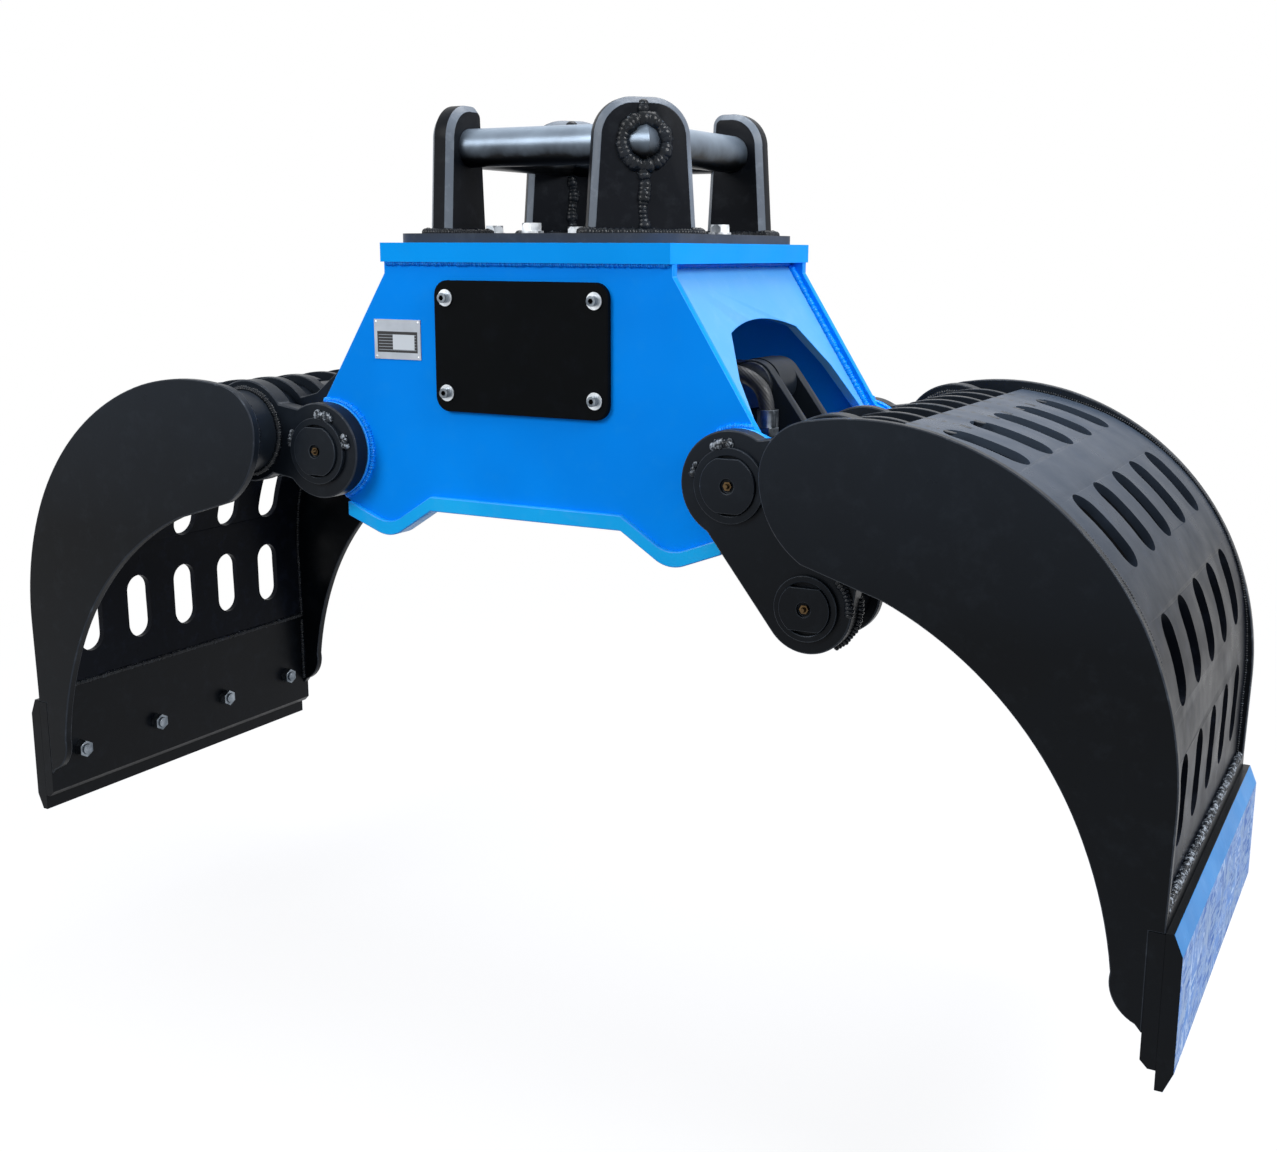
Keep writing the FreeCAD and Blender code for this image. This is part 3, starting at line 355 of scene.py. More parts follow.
def blank_tag():
    """Printed aluminium tag with a ruled dark panel and an empty white field, and no writing."""
    material, tree, shader, place = new_material("printed_aluminium_tag")
    axes = add(tree, "ShaderNodeSeparateXYZ", {0: place}).outputs
    across = math_node(tree, "DIVIDE", math_node(tree, "SUBTRACT", axes["X"], TAG_LEFT * MM), MM)
    up = math_node(tree, "DIVIDE", math_node(tree, "SUBTRACT", axes["Z"], DECK.z + TAG_LOW * MM), MM)
    panel = inside(tree, across, up, *PANEL)
    row = math_node(tree, "LESS_THAN", math_node(tree, "MODULO", up, ROW_PITCH), ROW_WIDE)
    rows = math_node(tree, "MULTIPLY", row, inside(tree, across, up, *RULED))
    dark = mix(tree, rows, linear("14161A"), linear("8F969E"))
    dark = mix(tree, inside(tree, across, up, *FIELD), dark, linear("D5DCE2"))
    cloudy = ramp(tree, noise(tree, place, 30, 3.0), 0.35, 0.65)
    bare = mix(tree, cloudy, linear("B9C0C8"), linear("C9D0D8"))
    tree.links.new(mix(tree, panel, bare, dark), shader.inputs["Base Color"])
    shader.inputs["Roughness"].default_value = 0.42
    bump(tree, shader, noise(tree, place, 2.5, 2.0), 0.05, 0.3)
    return material


tag_plate = blank_tag()
print("tag", TAG_SIZE, "mm")

# %% [markdown]
# A hydraulic hose is black rubber, cured in a wrap of cloth that leaves slanting bands about
# 3 mm apart. Wave Texture draws ten radians of wave over each unit of its scale, and its
# diagonal bands run over all three axes, so the scale is worked out from that spacing.

# %% Wrapped rubber
WRAP_MM = 3.3


def wrapped_rubber():
    """Black hose cover with the print of its cloth wrapping."""
    material, tree, shader, place = new_material("wrapped_rubber_hose")
    scale = 2 * math.pi / (10 * math.sqrt(3) * WRAP_MM * MM)
    wrap = add(tree, "ShaderNodeTexWave", {"Vector": place, "Scale": scale, "Distortion": 1.5, "Detail": 2.0},
               wave_type="BANDS", bands_direction="DIAGONAL").outputs["Fac"]
    cloth = math_node(tree, "ADD", wrap, noise(tree, place, 3, 3.0))
    tone = mix(tree, ramp(tree, noise(tree, place, 24, 4.0), 0.35, 0.7), linear("16181B"), linear("2B2E33"))
    tree.links.new(tone, shader.inputs["Base Color"])
    tree.links.new(ramp(tree, cloth, 0.4, 1.4, 0.42, 0.58), shader.inputs["Roughness"])
    bump(tree, shader, cloth, 0.35, 0.5)
    return material


hose_rubber = wrapped_rubber()
print("cloth print every", WRAP_MM, "mm")

# %% [markdown]
# The cutting blades were blue once. Rubble has ground them towards grey steel with long scuffs,
# and clean blue is left along the upper bevel, where nothing reaches.

# %% Scuffed blade
SCUFF_MM = 6
SCUFF_LONG = 0.14
PATCH_MM = 34


def streaks(tree, place, squeeze):
    """Noise squeezed along one axis, so that its blotches are long that way."""
    squeezed = add(tree, "ShaderNodeMapping", {"Vector": place, "Scale": squeeze}).outputs[0]
    return noise(tree, squeezed, SCUFF_MM, 2.0, 0.6)


def scuffed_blade():
    """Scuffs that lie along and across in turn, patch by patch, over worn and unworn areas."""
    material, tree, shader, place = new_material("blue_enamel_scuffed_to_steel")
    level = streaks(tree, place, (1.0, SCUFF_LONG, 1.0))
    upright = streaks(tree, place, (1.0, 1.0, SCUFF_LONG))
    wide = noise(tree, place, 80, 5.0, 0.7, 0.5)
    patch = ramp(tree, noise(tree, place, PATCH_MM, 0.0), 0.46, 0.54)
    turned_patch = math_node(tree, "SUBTRACT", 1.0, patch)
    hatch = math_node(tree, "ADD", math_node(tree, "MULTIPLY", patch, ramp(tree, level, 0.50, 0.56)),
                      math_node(tree, "MULTIPLY", turned_patch, ramp(tree, upright, 0.50, 0.56)))
    worn = ramp(tree, math_node(tree, "ADD", wide, math_node(tree, "MULTIPLY", level, 0.4)), 0.62, 0.72)
    steel = mix(tree, hatch, linear("86A0C2"), linear("1C5CA8"))
    blue = mix(tree, hatch, linear("2270BC"), linear("A4BEDC"))
    tree.links.new(mix(tree, worn, blue, steel), shader.inputs["Base Color"])
    tree.links.new(ramp(tree, worn, 0.0, 1.0, 0.38, 0.48), shader.inputs["Roughness"])
    shader.inputs["Specular IOR Level"].default_value = 0.12
    bump(tree, shader, hatch, 0.4, 0.5)
    return material


blade_wear = scuffed_blade()
blade_blue = enamel("blue_enamel_on_the_blade_bevel", "227EBE", "1C72B0", rough=0.34, dust="7CBDF2",
                    chip_from=0.68, chip="3E5674", shine=0.10)
print("blade materials made")

# %% [markdown]
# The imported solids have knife-sharp edges, which real plate never has. A merged copy of each
# plate gets a small rounded edge that catches the light, and stands in for the solid. A Bevel
# modifier does it, because it keeps the plate's size and rounds only what is sharp.

# %% Softened plates
SHARP = math.radians(32)


def merged_copy(node):
    """A copy of a node's mesh with its triangles joined into clean faces."""
    mesh = nodes[node].data.copy()
    work = bmesh.new()
    work.from_mesh(mesh)
    bmesh.ops.remove_doubles(work, verts=work.verts, dist=0.00002)
    bmesh.ops.dissolve_limit(work, angle_limit=math.radians(0.6), verts=work.verts, edges=work.edges)
    work.to_mesh(mesh)
    work.free()
    mesh.materials.clear()
    return mesh


def softened(node, width_mm, finishes, rim=None, pick=None):
    """Stands for a node with rounded edges; rim is the place of the rounding's finish in the list."""
    piece = bpy.data.objects.new(node + "_soft", merged_copy(node))
    bpy.context.scene.collection.objects.link(piece)
    for finish in finishes:
        piece.data.materials.append(finish)
    edge = piece.modifiers.new("edge", "BEVEL")
    edge.width = width_mm * MM
    edge.segments = 2
    edge.limit_method = "ANGLE"
    edge.angle_limit = SHARP
    edge.use_clamp_overlap = True
    if rim is not None:
        edge.material = rim
    for polygon in piece.data.polygons:
        polygon.material_index = pick(polygon) if pick else 0
    piece.data.shade_smooth()
    piece.data.set_sharp_from_angle(angle=math.radians(34))
    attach(piece, nodes[node]["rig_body"])
    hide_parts(node)


def finish_node(node, material):
    """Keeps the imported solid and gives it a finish."""
    mesh = nodes[node].data
    mesh.materials.clear()
    mesh.materials.append(material)


print("edges sharper than", round(math.degrees(SHARP)), "degrees are rounded")

# %% [markdown]
# Some plates have several finishes. An ear's bevel is painted pale grey, a painted highlight, a
# blade is ground where it bites, and a screw's socket is painted near black, a painted shade. A
# rule looks at the direction and the place of each face and picks its finish.

# %% Rules that pick a finish
BOLT_FACE_X = 0.86
SCREW_X = 113.0
SCREW_ROWS = (-70.5, -194.4)
WASHER_OUT = 217.0
SOCKET_OUT = 224.4
SOCKET_R = 3.6


def bevel_faces(across):
    """Picks the second finish for faces that slant against the direction across a plate."""
    return lambda polygon: 1 if 0.4 < abs(polygon.normal.dot(across)) < 0.95 else 0


def blade_faces(sign):
    """Worn outer face and lower bevel, blue upper bevel, and black for all the rest."""
    def pick(polygon):
        out = polygon.normal.x * sign
        if 0.3 < out < 0.97 and polygon.normal.z > 0:
            return 1
        return 0 if out > 0.3 else 2
    return pick


def bolt_faces(sign):
    """The blade's wear on the flush heads, dull zinc on the nuts and shanks."""
    def pick(polygon):
        flush = polygon.normal.x * sign > 0.9 and polygon.center.x * sign > BOLT_FACE_X
        return 0 if flush else 1
    return pick


def screw_faces(polygon):
    """Bright washers, dull heads, and sockets painted near black as shade."""
    y = abs(polygon.center.y) / MM
    if y < WASHER_OUT:
        return 0
    reach = min(math.hypot(abs(polygon.center.x) / MM - SCREW_X, (polygon.center.z - DECK.z) / MM - z)
                for z in SCREW_ROWS)
    return 2 if y < SOCKET_OUT and reach < SOCKET_R else 1


print("screw rows", SCREW_ROWS, "mm from the deck's top")

# %% [markdown]
# The frame carries the hitch and both jaws. Its plates are softened one by one, and the ears'
# bevels, painted pale grey as a painted highlight, are told from their faces by the direction
# across each ear.

# %% Finish the frame
softened("deck_plate", 2.0, [deck_enamel_painted_sheen, blue_rim_painted_highlight], rim=1)
softened("belly_flanges", 1.5, [flange_enamel_painted_sheen, blue_rim_painted_highlight], rim=1)
for name in ("body_plate_front", "body_plate_rear", "pivot_bosses"):
    softened(name, 1.5, [blue_enamel, blue_rim_painted_highlight], rim=1)
for name in ("end_plate_right", "end_plate_left"):
    softened(name, 1.5, [end_enamel_painted_sheen, blue_rim_painted_highlight], rim=1)
softened("head_plate", 1.5, [plate_enamel_painted_reflection, rim_enamel_painted_highlight], rim=1)
DIAGONAL = Vector((1, -1, 0)).normalized()
for name, across in (("ear_front_left", Vector((1, 0, 0))), ("ear_rear_right", Vector((0, 1, 0))),
                     ("ears_diagonal", DIAGONAL)):
    softened(name, 1.0, [head_enamel, head_rim_painted_highlight], pick=bevel_faces(across))
softened("cover_plates", 1.2, [cover_enamel])

# %% [markdown]
# Both jaws are built alike, mirrored left and right. Pins and tubes are round already, so they
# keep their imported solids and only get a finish, as do the frame's bolts and its tag.

# %% Finish the jaws, the cylinder and the link
for side, sign in (("right", 1), ("left", -1)):
    for name in ("jaw_side_front_", "jaw_side_rear_"):
        softened(name + side, 1.6, [black_enamel, rim_enamel_painted_highlight], rim=1)
    softened("jaw_shell_" + side, 1.6, [shell_enamel, rim_enamel_painted_highlight], rim=1)
    softened("jaw_ribs_" + side, 1.0, [black_enamel, rim_enamel_painted_highlight], rim=1)
    softened("jaw_lip_" + side, 1.2, [black_enamel])
    softened("jaw_blade_" + side, 2.0, [blade_wear, blade_blue, black_enamel], pick=blade_faces(sign))
    softened("blade_bolts_" + side, 0.6, [blade_wear, dull_zinc], pick=bolt_faces(sign))
    softened("cylinder_lugs_" + side, 1.6, [black_enamel, rim_enamel_painted_highlight], rim=1)
    softened("pivot_pin_" + side, 1.0, [black_enamel, rim_enamel_painted_highlight], rim=1)
    softened("pin_collars_" + side, 1.0, [black_enamel, rim_enamel_painted_highlight], rim=1)
    finish_node("torque_tube_" + side, black_enamel)
    finish_node("lug_pin_" + side, turned)
    finish_node("grease_nipples_" + side, brass)
for name in ("arm_front_right", "arm_rear_right", "arms_left", "link_cheeks", "lower_cheek", "sync_link"):
    softened(name, 2.0, [black_enamel, rim_enamel_painted_highlight], rim=1)
softened("lower_pin", 1.0, [black_enamel, rim_enamel_painted_highlight], rim=1)
softened("hose_fittings", 0.8, [dull_zinc])
softened("cylinder_barrel", 1.5, [black_enamel, rim_enamel_painted_highlight], rim=1)
finish_node("hitch_pins", pin_steel)
finish_node("cylinder_gland", turned)
finish_node("cylinder_rod", chrome)
finish_node("cylinder_piston", turned)
finish_node("link_top_pin", turned)
for name in ("pivot_bushes", "link_bushes", "barrel_eye_bush", "rod_eye_bush"):
    finish_node(name, bronze)
finish_node("head_bolts", zinc)
softened("cover_screws", 0.5, [zinc, dull_zinc, socket_painted_shade], pick=screw_faces)
finish_node("rating_tag", tag_plate)


# %% [markdown]
# Four small domed rivets hold the tag. A flattened ball at each corner is enough, half sunk.

# %% Rivets of the tag
RIVET_R = 2.0
RIVET_IN = 3.5
RIVET_Y = -208.3


def tag_rivets():
    """Four domed rivets, one at each corner of the tag."""
    work = bmesh.new()
    for across in (RIVET_IN, TAG_SIZE[0] - RIVET_IN):
        for up in (RIVET_IN, TAG_SIZE[1] - RIVET_IN):
            place = Vector((TAG_LEFT + across, RIVET_Y, TAG_LOW + up)) * MM + DECK
            dome = Matrix.Translation(place) @ Matrix.Diagonal((1, 0.6, 1, 1))
            bmesh.ops.create_icosphere(work, subdivisions=3, radius=RIVET_R * MM, matrix=dome)
    mesh = bpy.data.meshes.new("tag_rivets")
    work.to_mesh(mesh)
    work.free()
    mesh.materials.append(zinc)
    mesh.shade_smooth()
    rivets = bpy.data.objects.new("tag_rivets", mesh)
    bpy.context.scene.collection.objects.link(rivets)
    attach(rivets, "frame")


tag_rivets()

# %% [markdown]
# Weld beads follow paths: round the torque tubes, along the lips, under the deck and round the
# ears. A path is a list of points in millimetres from the middle of the deck's top, and it is
# kept with the radius of its bead. Four helpers draw the usual paths: straight runs, arcs,
# closed outlines and lines on the slanting ears.

# %% Helpers for weld paths
HALF = 207.0
PIVOT = (314.5, -282.0)
TUBE = (443.0, -262.0)
LOW_PIN = (416.0, -420.0)
SIDE_IN = 288.0
EAR_FACES = (174.0, 204.0)
FOOT_Z = 13.0
SHELL_EDGE = ((520, -199), (561.5, -205), (600, -214.5), (640, -228), (677, -245), (709, -267), (743, -295),
              (771, -326), (793, -356), (810, -387), (825, -422), (836, -462), (842, -500), (845, -540),
              (846, -570), (845, -600), (845, -645), (844, -690))


def run(start, end, parts=6):
    """Points along a straight line."""
    a, b = Vector(start), Vector(end)
    return [a.lerp(b, i / parts) for i in range(parts + 1)]


def arc_y(centre, r, y, first=0, last=360, parts=36):
    """Points round a line along Y."""
    turns = [math.radians(first + (last - first) * i / parts) for i in range(parts + 1)]
    return [Vector((centre[0] + r * math.cos(t), y, centre[1] + r * math.sin(t))) for t in turns]


def loop(corners):
    """Points round a closed outline, with none twice."""
    points = []
    for here, there in zip(corners, corners[1:] + corners[:1]):
        points += run(here, there, 4)[:-1]
    return points


def on_diagonal(out, along, z, sign):
    """A point on a diagonal ear: distance out from the middle, then along its face."""
    point = DIAGONAL * out * sign + Vector((-DIAGONAL.y, DIAGONAL.x, 0)) * along
    return Vector((point.x, point.y, z))


print("shell edge points:", len(SHELL_EDGE))

# %% [markdown]
# The frame's welds are neat fillets under the deck and along the end plates. The pins' ends in
# the ears are buried under heavy runs, which show first of all in a picture.

# %% Weld paths of the frame


def body_beads():
    """Deck, end plates and pivot rings."""
    beads = []
    for sign in (-1, 1):
        beads.append((run((-212, sign * (HALF + 1), -26), (212, sign * (HALF + 1), -26), 12), 4.0))
        beads.append((run((sign * 196, -190, -27), (sign * 196, 190, -27)), 4.5))
        for end in (-1, 1):
            beads.append((run((end * 200, sign * 193, -32), (end * 329, sign * 193, -236), 8), 5.5))
            ring = arc_y(PIVOT, 67.0, sign * (HALF + 1), 80, 252, 20)
            beads.append(([Vector((end * p.x, p.y, p.z)) for p in ring], 4.5))
    return beads


def head_beads():
    """Feet of the ears and the ends of the pins in them."""
    inner, outer = EAR_FACES
    beads = [(loop([(-160, -190, FOOT_Z), (-122, -190, FOOT_Z), (-122, -94, FOOT_Z), (-160, -94, FOOT_Z)]), 6.0),
             (loop([(94, 122, FOOT_Z), (190, 122, FOOT_Z), (190, 160, FOOT_Z), (94, 160, FOOT_Z)]), 6.0)]
    for sign in (-1, 1):
        corners = [(inner - 2, -73), (outer + 2, -73), (outer + 2, 73), (inner - 2, 73)]
        beads.append((loop([on_diagonal(out, along, FOOT_Z, sign) for out, along in corners]), 6.5))
    return beads


def ring_points(r, parts=24):
    """Offsets along and up that go once round a circle."""
    turns = [math.radians(360 * i / parts) for i in range(parts + 1)]
    return [(r * math.cos(t), r * math.sin(t)) for t in turns]


def ear_lumps():
    """Heavy runs of weld over the pins' ends and down the middle of the diagonal ears."""
    inner, outer = EAR_FACES
    lumps = []
    for sign in (-1, 1):
        for r, radius in ((28, 10.5), (13, 8.5)):
            lumps.append(([on_diagonal(outer - 2, a, PIN_Z + b, sign) for a, b in ring_points(r)], radius))
        for face, way in ((inner, 1), (outer, -1)):
            for low, high in ((16, 94), (151, 169)):
                lumps.append(([on_diagonal(face + 2 * way, 1.5 * math.sin(z * 0.11), z, sign)
                               for z in range(low, high + 1, 6)], 8.0))
    return lumps


print("frame paths:", len(body_beads()) + len(head_beads()) + len(ear_lumps()))

# %% [markdown]
# A jaw is welded along its shell's edges, round its torque tube and along its lip. The paths are
# drawn on the right jaw, and the left one mirrors them.

# %% Weld paths of the jaws


def jaw_beads():
    """Torque tube, shell and foot of a jaw, drawn on the right."""
    beads = []
    for sign in (-1, 1):
        for y in (SIDE_IN - 2, 242.5, 214.5):
            beads.append((arc_y(TUBE, 59.0, sign * y), 5.5))
        seam, inner = sign * (SIDE_IN - 1), sign * (SIDE_IN - 2)
        beads.append(([Vector((x + 0.5, seam, z + 0.5)) for x, z in SHELL_EDGE], 2.6))
        beads.append(([Vector((x - 11, inner, z)) for x, z in SHELL_EDGE[8:]], 4.0))
        beads.append((run((834.5, seam, -700), (834.5, seam, -812)), 4.5))
    beads.append((run((834.5, -285, -690), (834.5, 285, -690), 16), 4.5))
    return beads


def lip_beads():
    """Outer seam between shell and lip, which rubble keeps rubbed."""
    return [(run((848.0, -285, -688), (848.0, 285, -688), 16), 5.0)]


def arm_tacks():
    """Short heavy tacks that hold the collars to the arms."""
    return [(arc_y(PIVOT, 50.0, sign * 242, first, last, 4), radius) for sign in (-1, 1)
            for first, last, radius in ((92, 116, 7.0), (8, 28, 6.0), (154, 168, 5.5))]


def low_pin_beads():
    """Short runs that hold the boss of the lower pin."""
    return [(arc_y(LOW_PIN, 54.5, -243, -2, 42, 8), 6.0), (arc_y(LOW_PIN, 57.0, -215, -60, 80, 16), 5.0)]


print("paths of each jaw:", len(jaw_beads()) + len(lip_beads()) + len(arm_tacks()))

# %% [markdown]
# A weld bead is a row of ripples, one for each small step of the welder's hand. That repeats
# along a path, so Geometry Nodes lay it: the path becomes a smooth curve, points are spread on
# it at the ripple's pitch, and a flattened ball sits on each, turned along the curve and a
# little uneven in size.

# %% Tree that lays the ripples


def bead_tree():
    """Geometry Nodes: paths in, painted weld ripples out."""
    tree = bpy.data.node_groups.new("weld_beads", "GeometryNodeTree")
    sockets = {}
    for name, kind in (("Paths", "NodeSocketGeometry"), ("Ripple pitch", "NodeSocketFloat"),
                       ("Flatness", "NodeSocketFloat"), ("Unevenness", "NodeSocketFloat"),
                       ("Seed", "NodeSocketInt"), ("Finish", "NodeSocketMaterial")):
        sockets[name] = tree.interface.new_socket(name, in_out="INPUT", socket_type=kind)
    tree.interface.new_socket("Beads", in_out="OUTPUT", socket_type="NodeSocketGeometry")
    given = tree.nodes.new("NodeGroupInput").outputs
    curve = add(tree, "GeometryNodeMeshToCurve", {"Mesh": given["Paths"]}).outputs[0]
    smooth = add(tree, "GeometryNodeCurveSplineType", {"Curve": curve}, spline_type="CATMULL_ROM").outputs[0]
    even = add(tree, "GeometryNodeResampleCurve", {"Curve": smooth, "Length": given["Ripple pitch"]},
               mode="LENGTH").outputs[0]
    ripple = add(tree, "GeometryNodeMeshIcoSphere", {"Radius": 1.0, "Subdivisions": 2}).outputs["Mesh"]
    soft = add(tree, "GeometryNodeSetShadeSmooth", {"Geometry": ripple}).outputs[0]
    radius = add(tree, "GeometryNodeInputNamedAttribute", {"Name": "bead_radius"}, data_type="FLOAT").outputs[0]
    low = math_node(tree, "SUBTRACT", 1.0, given["Unevenness"])
    high = math_node(tree, "ADD", 1.0, given["Unevenness"])
    uneven = add(tree, "FunctionNodeRandomValue", {2: low, 3: high, "Seed": given["Seed"]},
                 data_type="FLOAT")
    size = math_node(tree, "MULTIPLY", radius, uneven.outputs[1])
    flat = math_node(tree, "MULTIPLY", size, given["Flatness"])
    scale = add(tree, "ShaderNodeCombineXYZ", {"X": size, "Y": size, "Z": flat}).outputs[0]
    tangent = add(tree, "GeometryNodeInputTangent").outputs[0]
    turned_to = add(tree, "FunctionNodeAlignRotationToVector", {"Vector": tangent}, axis="Z").outputs[0]
    laid = add(tree, "GeometryNodeInstanceOnPoints", {"Points": even, "Instance": soft, "Rotation": turned_to,
                                                      "Scale": scale}).outputs[0]
    real = add(tree, "GeometryNodeRealizeInstances", {"Geometry": laid}).outputs[0]
    painted = add(tree, "GeometryNodeSetMaterial", {"Geometry": real, "Material": given["Finish"]}).outputs[0]
    add(tree, "NodeGroupOutput", {"Beads": painted})
    return tree, {name: socket.identifier for name, socket in sockets.items()}


weld_tree, weld_inputs = bead_tree()
print("inputs of the tree:", sorted(weld_inputs))

# %% [markdown]
# Each body needs its own plain mesh of beads, or it would not move with its jaw. The tree is
# evaluated on the paths, its result becomes the mesh, and the modifier goes.

# %% Lay the beads of one body

def lay_beads(name, body, beads, finish, seed, mirrored=False, pitch_mm=3.4, flat=0.62,
              uneven=0.16):
    """Lays beads on one body as a plain mesh."""
    points, edges, radii = [], [], []
    for path, radius in beads:
        first = len(points)
        for p in path:
            points.append(Vector((-p.x if mirrored else p.x, p.y, p.z)) * MM + DECK)
            radii.append(radius * MM)
        edges += [(i, i + 1) for i in range(first, len(points) - 1)]
    paths = bpy.data.meshes.new(name + "_paths")
    paths.from_pydata(points, edges, [])
    paths.attributes.new("bead_radius", "FLOAT", "POINT").data.foreach_set("value", radii)
    holder = bpy.data.objects.new(name, paths)
    bpy.context.scene.collection.objects.link(holder)
    laid = holder.modifiers.new("beads", "NODES")
    laid.node_group = weld_tree
    for key, value in (("Ripple pitch", pitch_mm * MM), ("Flatness", flat), ("Unevenness", uneven),
                       ("Seed", seed), ("Finish", finish)):
        laid[weld_inputs[key]] = value
    evaluated = holder.evaluated_get(bpy.context.evaluated_depsgraph_get())
    mesh = bpy.data.meshes.new_from_object(evaluated)
    holder.modifiers.remove(laid)
    holder.data = mesh
    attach(holder, body)
    print(name, "ripple faces:", len(mesh.polygons))


# %% [markdown]
# Paint over a weld is lumpy and glossy, and pale flecks are painted on it as painted glints.
# Along the lips rubble rubs the paint off, so more pale flecks are painted there, part worn weld
# and part painted glints.

# %% Enamel over weld


def bead_enamel(name, coat, shade, painted_glint_colour, glint_flecks_from=0.60):
    """Enamel over a weld: glossy and lumpy, with pale flecks painted on as glints."""
    material, tree, shader, place = new_material(name)
    # Painted glints: pale flecks in the base colour where the noise is high.
    glint_flecks_painted = ramp(tree, noise(tree, place, 7, 5.0, 0.7), glint_flecks_from, glint_flecks_from + 0.11)
    coats = mix(tree, ramp(tree, noise(tree, place, 30, 3.0), 0.35, 0.65), linear(coat), linear(shade))
    tree.links.new(mix(tree, glint_flecks_painted, coats, linear(painted_glint_colour)), shader.inputs["Base Color"])
    tree.links.new(ramp(tree, glint_flecks_painted, 0.0, 1.0, 0.24, 0.38), shader.inputs["Roughness"])
    shader.inputs["Specular IOR Level"].default_value = 0.2
    bump(tree, shader, noise(tree, place, 2.5, 3.0), 0.5, 0.7)
    return material


black_weld = bead_enamel("black_enamel_over_weld_with_painted_glints", "12161A", "1A1F26", "5E666E")
rubbed_weld = bead_enamel("black_enamel_rubbed_off_weld_with_painted_glints", "171B20", "232930", "A4ACB4", 0.50)
blue_weld = bead_enamel("blue_enamel_over_weld_with_painted_glints", "0090FA", "0088EC", "34A4F4", 0.62)
print("weld finishes made")

# %% [markdown]
# Last the beads are laid. A heavy lump takes a wider pitch and stays rounder than a fillet.

# %% Lay all the beads
lay_beads("body_weld_beads", "frame", body_beads(), blue_weld, 3)
lay_beads("head_weld_beads", "frame", head_beads(), black_weld, 5, pitch_mm=4.0, flat=0.9)
lay_beads("ear_weld_lumps", "frame", ear_lumps(), black_weld, 9, pitch_mm=5.5, flat=0.9,
          uneven=0.2)
for side, body, mirrored, seed in (("right", "jaw_right", False, 7), ("left", "jaw_left", True, 11)):
    lay_beads("jaw_weld_beads_" + side, body, jaw_beads(), black_weld, seed, mirrored)
    lay_beads("lip_weld_beads_" + side, body, lip_beads(), rubbed_weld, seed + 1, mirrored,
              pitch_mm=3.0)
    lay_beads("arm_tacks_" + side, body, arm_tacks(), rubbed_weld, seed + 2, mirrored,
              pitch_mm=5.0, flat=0.8, uneven=0.2)
lay_beads("low_pin_weld_beads", "jaw_right", low_pin_beads(), black_weld, 17, pitch_mm=4.5)

# %% [markdown]
# The hose climbs out of its ferrule beside the barrel, turns over and runs back along it. A round
# bevelled curve through a few points makes it, because a hose keeps its thickness in its bends.

# %% Hose
HOSE_Y = -66.0
HOSE_ROUTE = ((284, -233), (284, -193), (261, -168), (214, -158), (120, -155), (20, -172), (-52, -216),
              (-118, -216))
HOSE_R = 10.0


def make_hose():
    """A closed round tube along the route, fixed to the barrel at both ends."""
    curve = bpy.data.curves.new("hydraulic_hose", "CURVE")
    curve.dimensions = "3D"
    curve.bevel_depth = HOSE_R * MM
    curve.bevel_resolution = 6
    curve.resolution_u = 16
    curve.use_fill_caps = True
    spline = curve.splines.new("NURBS")
    spline.points.add(len(HOSE_ROUTE) - 1)
    for point, (x, z) in zip(spline.points, HOSE_ROUTE):
        point.co = (*(Vector((x, HOSE_Y, z)) * MM + DECK), 1.0)
    spline.order_u = 3
    spline.use_endpoint_u = True
    curve.materials.append(hose_rubber)
    hose = bpy.data.objects.new("hydraulic_hose", curve)
    bpy.context.scene.collection.objects.link(hose)
    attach(hose, "barrel")
    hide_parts("cylinder_hose")


make_hose()

# %% [markdown]
# A plain pale floor lies under a white sky. White is what the camera sees and what the paint
# and the metal mirror, and for the light that falls on the grapple the same floor stays a mid
# grey. The closing jaws swing 218 mm below the place of their open edges, so the grapple hangs
# a little above the floor. Near the grapple the floor keeps a share of plain paint, which holds
# its shadow.

# %% Pale floor
BACKDROP = "FFFFFF"
FLOOR_HALF = 12.0
FLOOR_Z = -0.24


def shown(tree):
    """One for rays that show the background: from the camera, or mirrored or bent by the object."""
    rays = add(tree, "ShaderNodeLightPath").outputs
    mirrored = math_node(tree, "MAXIMUM", rays["Is Glossy Ray"], rays["Is Transmission Ray"])
    return math_node(tree, "MAXIMUM", rays["Is Camera Ray"], mirrored)


def pale_floor():
    """White where it is shown, matt grey for the light, and plain paint under the grapple."""
    material, tree, shader, place = new_material("pale_floor")
    seen = shown(tree)
    tree.links.new(mix(tree, seen, linear("6A6E74"), linear("F4F5F6")), shader.inputs["Base Color"])
    shader.inputs["Roughness"].default_value = 0.9
    glow = add(tree, "ShaderNodeEmission", {"Color": linear(BACKDROP)})
    away = add(tree, "ShaderNodeVectorMath", {0: place}, operation="LENGTH").outputs["Value"]
    share = math_node(tree, "MULTIPLY", seen, ramp(tree, away, 0.9, 3.2, 0.86, 1.0))
    both = add(tree, "ShaderNodeMixShader", {0: share, 1: shader.outputs[0], 2: glow.outputs[0]})
    output = next(n for n in tree.nodes if n.type == "OUTPUT_MATERIAL")
    tree.links.new(both.outputs[0], output.inputs["Surface"])
    return material


floor_mesh = bpy.data.meshes.new("floor")
corners = [(x * FLOOR_HALF, y * FLOOR_HALF, FLOOR_Z) for x, y in ((-1, -1), (1, -1), (1, 1), (-1, 1))]
floor_mesh.from_pydata(corners, [], [(0, 1, 2, 3)])
floor_mesh.materials.append(pale_floor())
floor = bpy.data.objects.new("floor", floor_mesh)
bpy.context.scene.collection.objects.link(floor)
print("floor at", FLOOR_Z, "m")

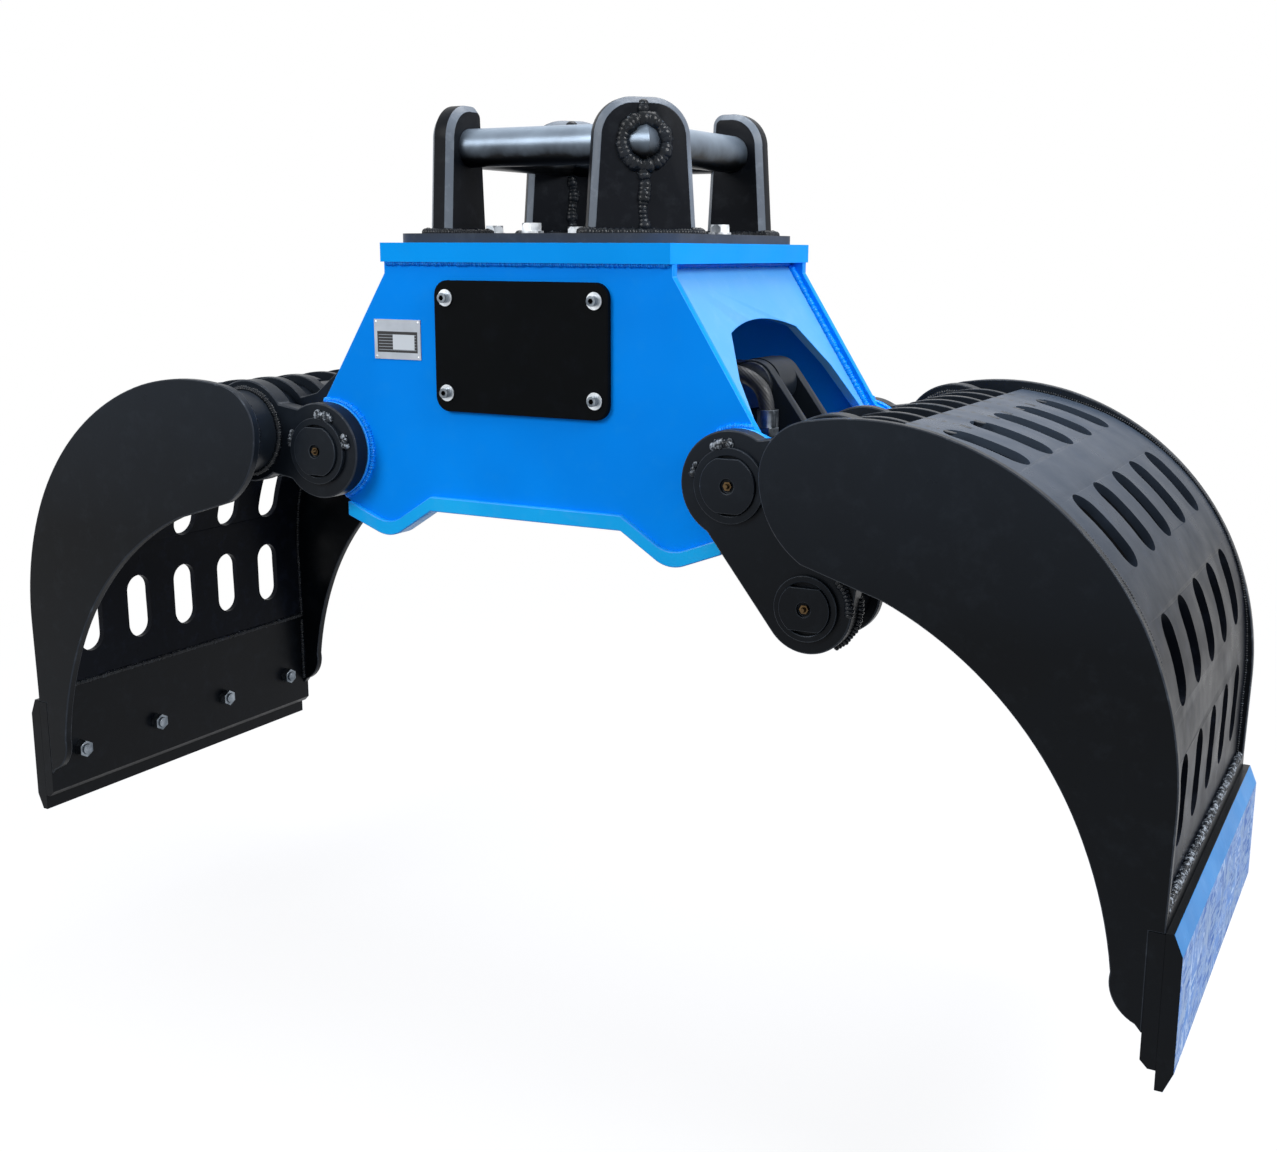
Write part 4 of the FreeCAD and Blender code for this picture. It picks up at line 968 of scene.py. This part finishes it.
# %% [markdown]
# The light comes mostly from above and behind, a little blue, so that flat tops shine and the
# near faces keep their own deep colour. The sky gives that as a soft ramp.

# %% Soft sky


def studio_world(strength):
    """White to the camera; for light, brighter overhead and behind the grapple than in front."""
    world = bpy.data.worlds.new("studio")
    world.use_nodes = True
    tree = world.node_tree
    tree.nodes.clear()
    way = add(tree, "ShaderNodeSeparateXYZ", {0: add(tree, "ShaderNodeTexCoord").outputs["Generated"]})
    height = ramp(tree, way.outputs["Z"], 0.0, 0.8, 0.45, 1.0)
    behind = ramp(tree, way.outputs["Y"], -0.6, 0.8, 1.0, 2.0)
    power = math_node(tree, "MULTIPLY", math_node(tree, "MULTIPLY", height, behind), strength)
    tint = mix(tree, ramp(tree, way.outputs["Y"], -0.4, 0.7), linear("F1F3F6"), linear("A6BEF2"))
    soft = add(tree, "ShaderNodeBackground", {"Color": tint, "Strength": power})
    white = add(tree, "ShaderNodeBackground", {"Color": linear(BACKDROP), "Strength": 1.0})
    both = add(tree, "ShaderNodeMixShader", {0: shown(tree), 1: soft.outputs[0], 2: white.outputs[0]})
    add(tree, "ShaderNodeOutputWorld", {"Surface": both.outputs[0]})
    bpy.context.scene.world = world


studio_world(0.75)
print("sky ready")

# %% [markdown]
# Three large round lamps model the plates: one from the right, one from the camera's left and
# one overhead. They are wide, so their shadows stay soft.

# %% Lamps


def lamp(name, place, target, size, power):
    """A round soft lamp that looks at a point of the grapple."""
    light = bpy.data.lights.new(name, "AREA")
    light.shape = "DISK"
    light.size = size
    light.energy = power
    body = bpy.data.objects.new(name, light)
    bpy.context.scene.collection.objects.link(body)
    body.location = place
    body.rotation_euler = (Vector(target) - Vector(place)).to_track_quat("-Z", "Y").to_euler()


lamp("key", (3.4, -0.4, 2.6), (0, 0, 0.6), 1.6, 110)
lamp("fill", (-1.6, -3.4, 2.6), (0, 0, 0.5), 2.0, 80)
lamp("top", (0.0, 0.8, 3.4), (0, 0, 0.5), 2.2, 60)
bpy.context.scene.view_settings.view_transform = "Standard"
print("studio ready")
